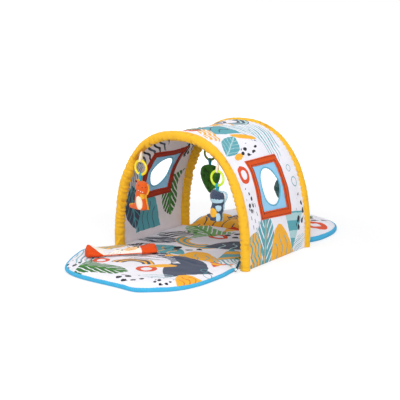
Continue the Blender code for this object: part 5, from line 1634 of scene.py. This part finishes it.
for name, angle in (("pillow_piping_near", math.pi + 0.12), ("pillow_piping_far", -0.12)):
    rings = []
    for step in range(91):
        middle = pillow_point(PILLOW_SEAM * (step / 45 - 1), angle, 0.0006)
        rings.append([middle + pillow_side * (0.0018 * math.cos(turn))
                      + Vector((0.0, 0.0, 0.0018 * math.sin(turn)))
                      for turn in turns(12)])
    piping = lofted(name, closed_ends(rings), end_cloth)
    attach(piping, "tummy_pillow")


# Mat straps: a short dark teal tape from the front of each front foot to the floor, with a press snap on it.
# The snap's socket is clear plastic with a raised rim and a hollow in its middle.

STRAP_X, STRAP_FOOT, STRAP_END = 0.2845, Vector((-0.2326, 0.0378)), Vector((-0.2636, 0.0058))
strap_tape = cloth_finish("strap_tape", linear(18, 62, 76), roughness=0.8, weave=0.0006, pucker=0.0003)
foot_tape = cloth_finish("foot_tape", linear(242, 184, 34), roughness=0.8, weave=0.0006, pucker=0.0003)
snap_plastic = plastic("snap_plastic", linear(232, 236, 240), 0.2)
strap_slope = (STRAP_END - STRAP_FOOT).normalized()
strap_along = Vector((0.0, strap_slope.x, strap_slope.y))
strap_face = Vector((0.0, strap_slope.y, -strap_slope.x))
for label, side in (("left", -1), ("right", 1)):
    path = []
    for step in range(25):
        y, z = STRAP_FOOT.lerp(STRAP_END, step / 24)
        path.append(Vector((side * STRAP_X, y, z)) - strap_face * (0.0007 * math.sin(step / 24 * math.pi)))
    tape = ribbon("strap_tape_" + label, path, 0.0100, 0.0014, strap_tape if side > 0 else foot_tape)
    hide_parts("mat_strap_" + label)
    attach(tape, "play_gym")
    rings = []
    for radius, out in ((0.0, 0.0), (0.0046, 0.0), (0.0050, 0.0003), (0.0050, 0.0009), (0.0046, 0.0013),
                        (0.0036, 0.0014), (0.0033, 0.0011), (0.0028, 0.0011), (0.0025, 0.0019),
                        (0.0017, 0.0024), (0.0, 0.0026)):
        middle = path[20] + strap_face * (0.0007 + out)
        rings.append([middle + Vector((radius * math.cos(angle), 0.0, 0.0))
                      + strap_along * (radius * math.sin(angle))
                      for angle in turns(36 if radius else 1)])
    snap = lofted("press_snap_" + label, rings, snap_plastic)
    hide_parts("strap_snap_" + label)
    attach(snap, "play_gym")


# Inside the sleeves: foam tubes round fibreglass rods whose halves meet in a steel ferrule at the top.
# They stay as the frame has them and only take their finishes.

foam_finish = cloth_finish("foam", linear(214, 214, 208), roughness=1.0, sheen=0.0, weave=0.0030,
                           pucker=0.0010)
rod_finish = plastic("fibreglass", linear(196, 200, 186), 0.45)
steel_finish = plastic("steel", linear(176, 178, 182), 0.28)
fed(steel_finish.node_tree.nodes["Principled BSDF"], {"Metallic": 1.0, "Subsurface Weight": 0.0})
for label in ("front", "rear"):
    for node, finish in (("_arch_foam", foam_finish), ("_rod_left", rod_finish), ("_rod_right", rod_finish),
                         ("_rod_ferrule", steel_finish)):
        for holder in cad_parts[label + node].material_slots:
            holder.material = finish


low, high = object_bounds()
{"cad": [CAD_LOW, CAD_HIGH], "visual": [list(low), list(high)]}
